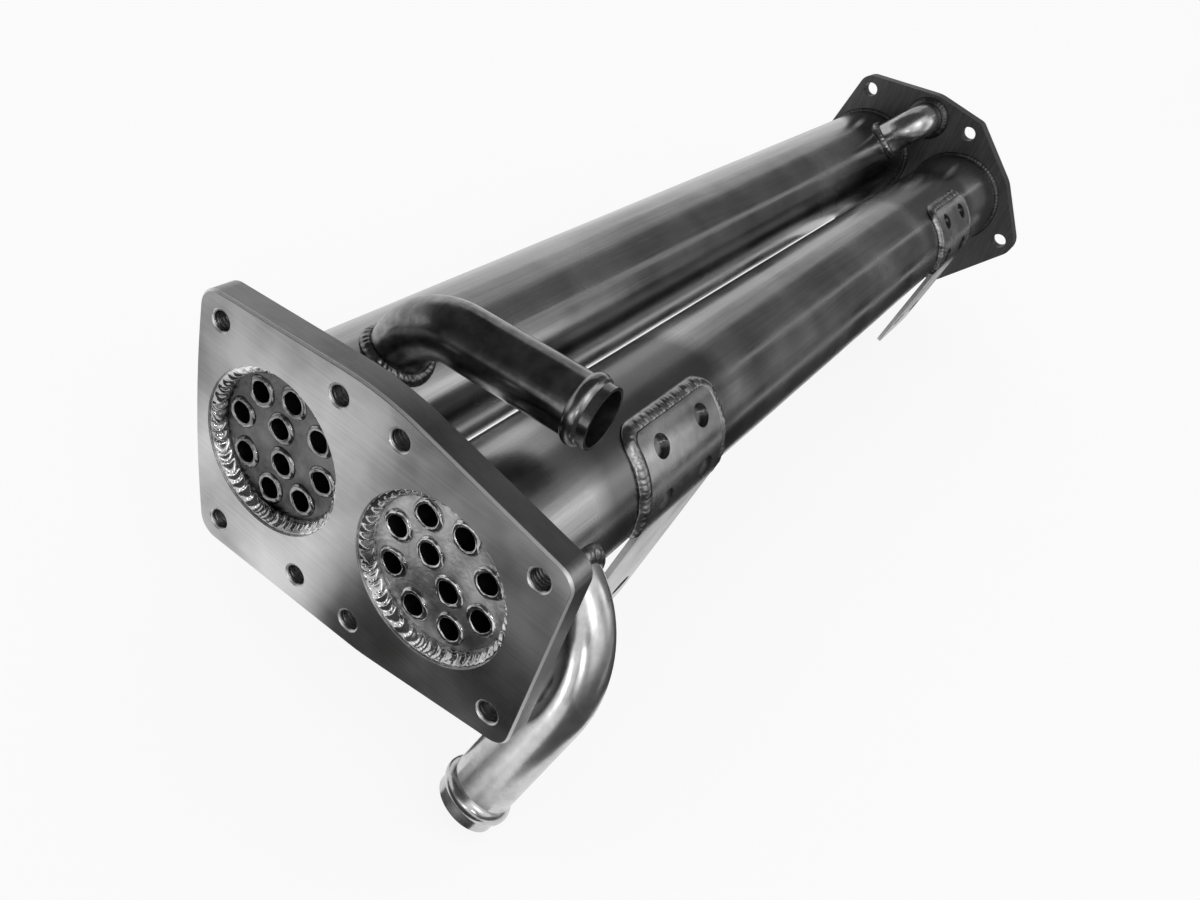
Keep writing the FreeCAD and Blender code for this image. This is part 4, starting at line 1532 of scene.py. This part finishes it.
@dataclass
class Studio:
    """Floor, backdrop, lamps, grey cards and camera. Lengths in metres, the camera's lens in mm."""

    floor_size: float = 30.0
    floor_gap: float = 0.001
    floor_grey: float = 0.82
    floor_roughness: float = 0.9
    backdrop_share: float = 0.88
    card_gap: float = 0.0005
    room_glow: float = 0.8
    camera_place: Point = (-0.27104, -0.19399, 0.31638)
    camera_turn: Point = (59.062, -17.016, -55.356)
    camera_lens: float = 32.937
    camera_sensor: float = 36.0
    camera_shift: Spot = (0.00857, -0.12658)
    camera_reach: Spot = (0.01, 100.0)

    def build_floor(self) -> None:
        """Lay the pale floor just under the lowest point of the part."""
        low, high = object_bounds()
        half = self.floor_size / 2
        corners = [(-half, -half, 0.0), (half, -half, 0.0), (half, half, 0.0), (-half, half, 0.0)]
        floor = mesh_object("floor", corners, [(0, 1, 2, 3)], smooth=False)
        floor.location = ((low.x + high.x) / 2, (low.y + high.y) / 2, low.z - self.floor_gap)
        shader = ShaderBuilder("pale_floor")
        shader.set("Base Color", grey(self.floor_grey))
        shader.set("Roughness", self.floor_roughness)
        glow = shader.add("ShaderNodeEmission", {}, {"Color": WHITE, "Strength": 1.0})
        skin = Wire(shader, shader.surface.outputs["BSDF"])
        share = shader.seen_plainly() * self.backdrop_share
        mix = shader.add("ShaderNodeMixShader", {}, {0: share, 1: skin, 2: glow})
        shader.join(mix, shader.output.inputs["Surface"])
        floor.data.materials.append(shader.material)
        floor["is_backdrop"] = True

    def build_world(self) -> None:
        """Light the room evenly, with white behind the part."""
        world = bpy.data.worlds.new("room")
        bpy.context.scene.world = world
        world.use_nodes = True
        room = NodeBuilder(world.node_tree, "ShaderNodeOutputWorld")
        soft = room.add("ShaderNodeBackground", {}, {"Color": WHITE, "Strength": self.room_glow})
        white = room.add("ShaderNodeBackground", {}, {"Color": WHITE, "Strength": 1.0})
        mix = room.add("ShaderNodeMixShader", {}, {0: room.seen_plainly(), 1: soft, 2: white})
        room.join(mix, room.output.inputs["Surface"])

    def hang(self, card: Card, ground: float) -> None:
        """Hang one card, which neither the camera nor any light but a mirror's sees.

        Args:
            card: the card.
            ground: the height of cards at the floor.
        """
        corners = card.corners(ground)
        item = mesh_object(card.name, corners, [tuple(range(len(corners)))], smooth=False)
        shader = ShaderBuilder(card.name + "_cloth")
        shader.set("Base Color", BLACK)
        shader.set("Roughness", 1.0)
        shader.set("Specular IOR Level", 0.0)
        shader.set("Emission Color", WHITE)
        shader.set("Emission Strength", card.glow)
        item.data.materials.append(shader.material)
        item.visible_camera = False
        item.visible_diffuse = False
        item.visible_shadow = False
        item.visible_transmission = False
        item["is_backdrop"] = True

    def light(self, lamp: Lamp) -> None:
        """Add one lamp.

        Args:
            lamp: the lamp.
        """
        data = bpy.data.lights.new(lamp.name, "AREA")
        data.shape = "SQUARE"
        data.size = lamp.width
        data.energy = lamp.watts
        item = linked(lamp.name, data)
        item.location = lamp.place
        aim = Vector(lamp.target) - Vector(lamp.place)
        item.rotation_euler = aim.to_track_quat("-Z", "Y").to_euler()

    def build_camera(self) -> None:
        """Put the camera where the photograph was taken."""
        data = bpy.data.cameras.new("camera")
        data.sensor_width = self.camera_sensor
        data.lens = self.camera_lens
        data.shift_x, data.shift_y = self.camera_shift
        data.clip_start, data.clip_end = self.camera_reach
        item = linked("camera", data)
        item.location = self.camera_place
        item.rotation_euler = [math.radians(turn) for turn in self.camera_turn]
        bpy.context.scene.camera = item

    def build(self) -> None:
        """Set up the whole studio."""
        bpy.context.scene.view_settings.view_transform = "Standard"
        self.build_floor()
        self.build_world()
        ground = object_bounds()[0].z - self.card_gap
        for card in CARDS:
            self.hang(card, ground)
        for lamp in LAMPS:
            self.light(lamp)
        self.build_camera()


def main() -> None:
    """Build the looks of the cooler, its studio and the camera."""
    logging.basicConfig(level=logging.INFO, format="%(message)s")
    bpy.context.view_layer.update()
    sizes = CoolerSizes()
    pieces: list[Piece] = [Shells(sizes), EndWelds(sizes), FrontFlange(sizes), RearFlange(),
                           CoolantPipes(sizes), Bracket("front_bracket", station=102.5),
                           Bracket("rear_bracket", station=550.7)]
    for piece in pieces:
        log.info("building %s", type(piece).__name__)
        piece.build()
    Studio().build()


if __name__ == "__main__":
    main()
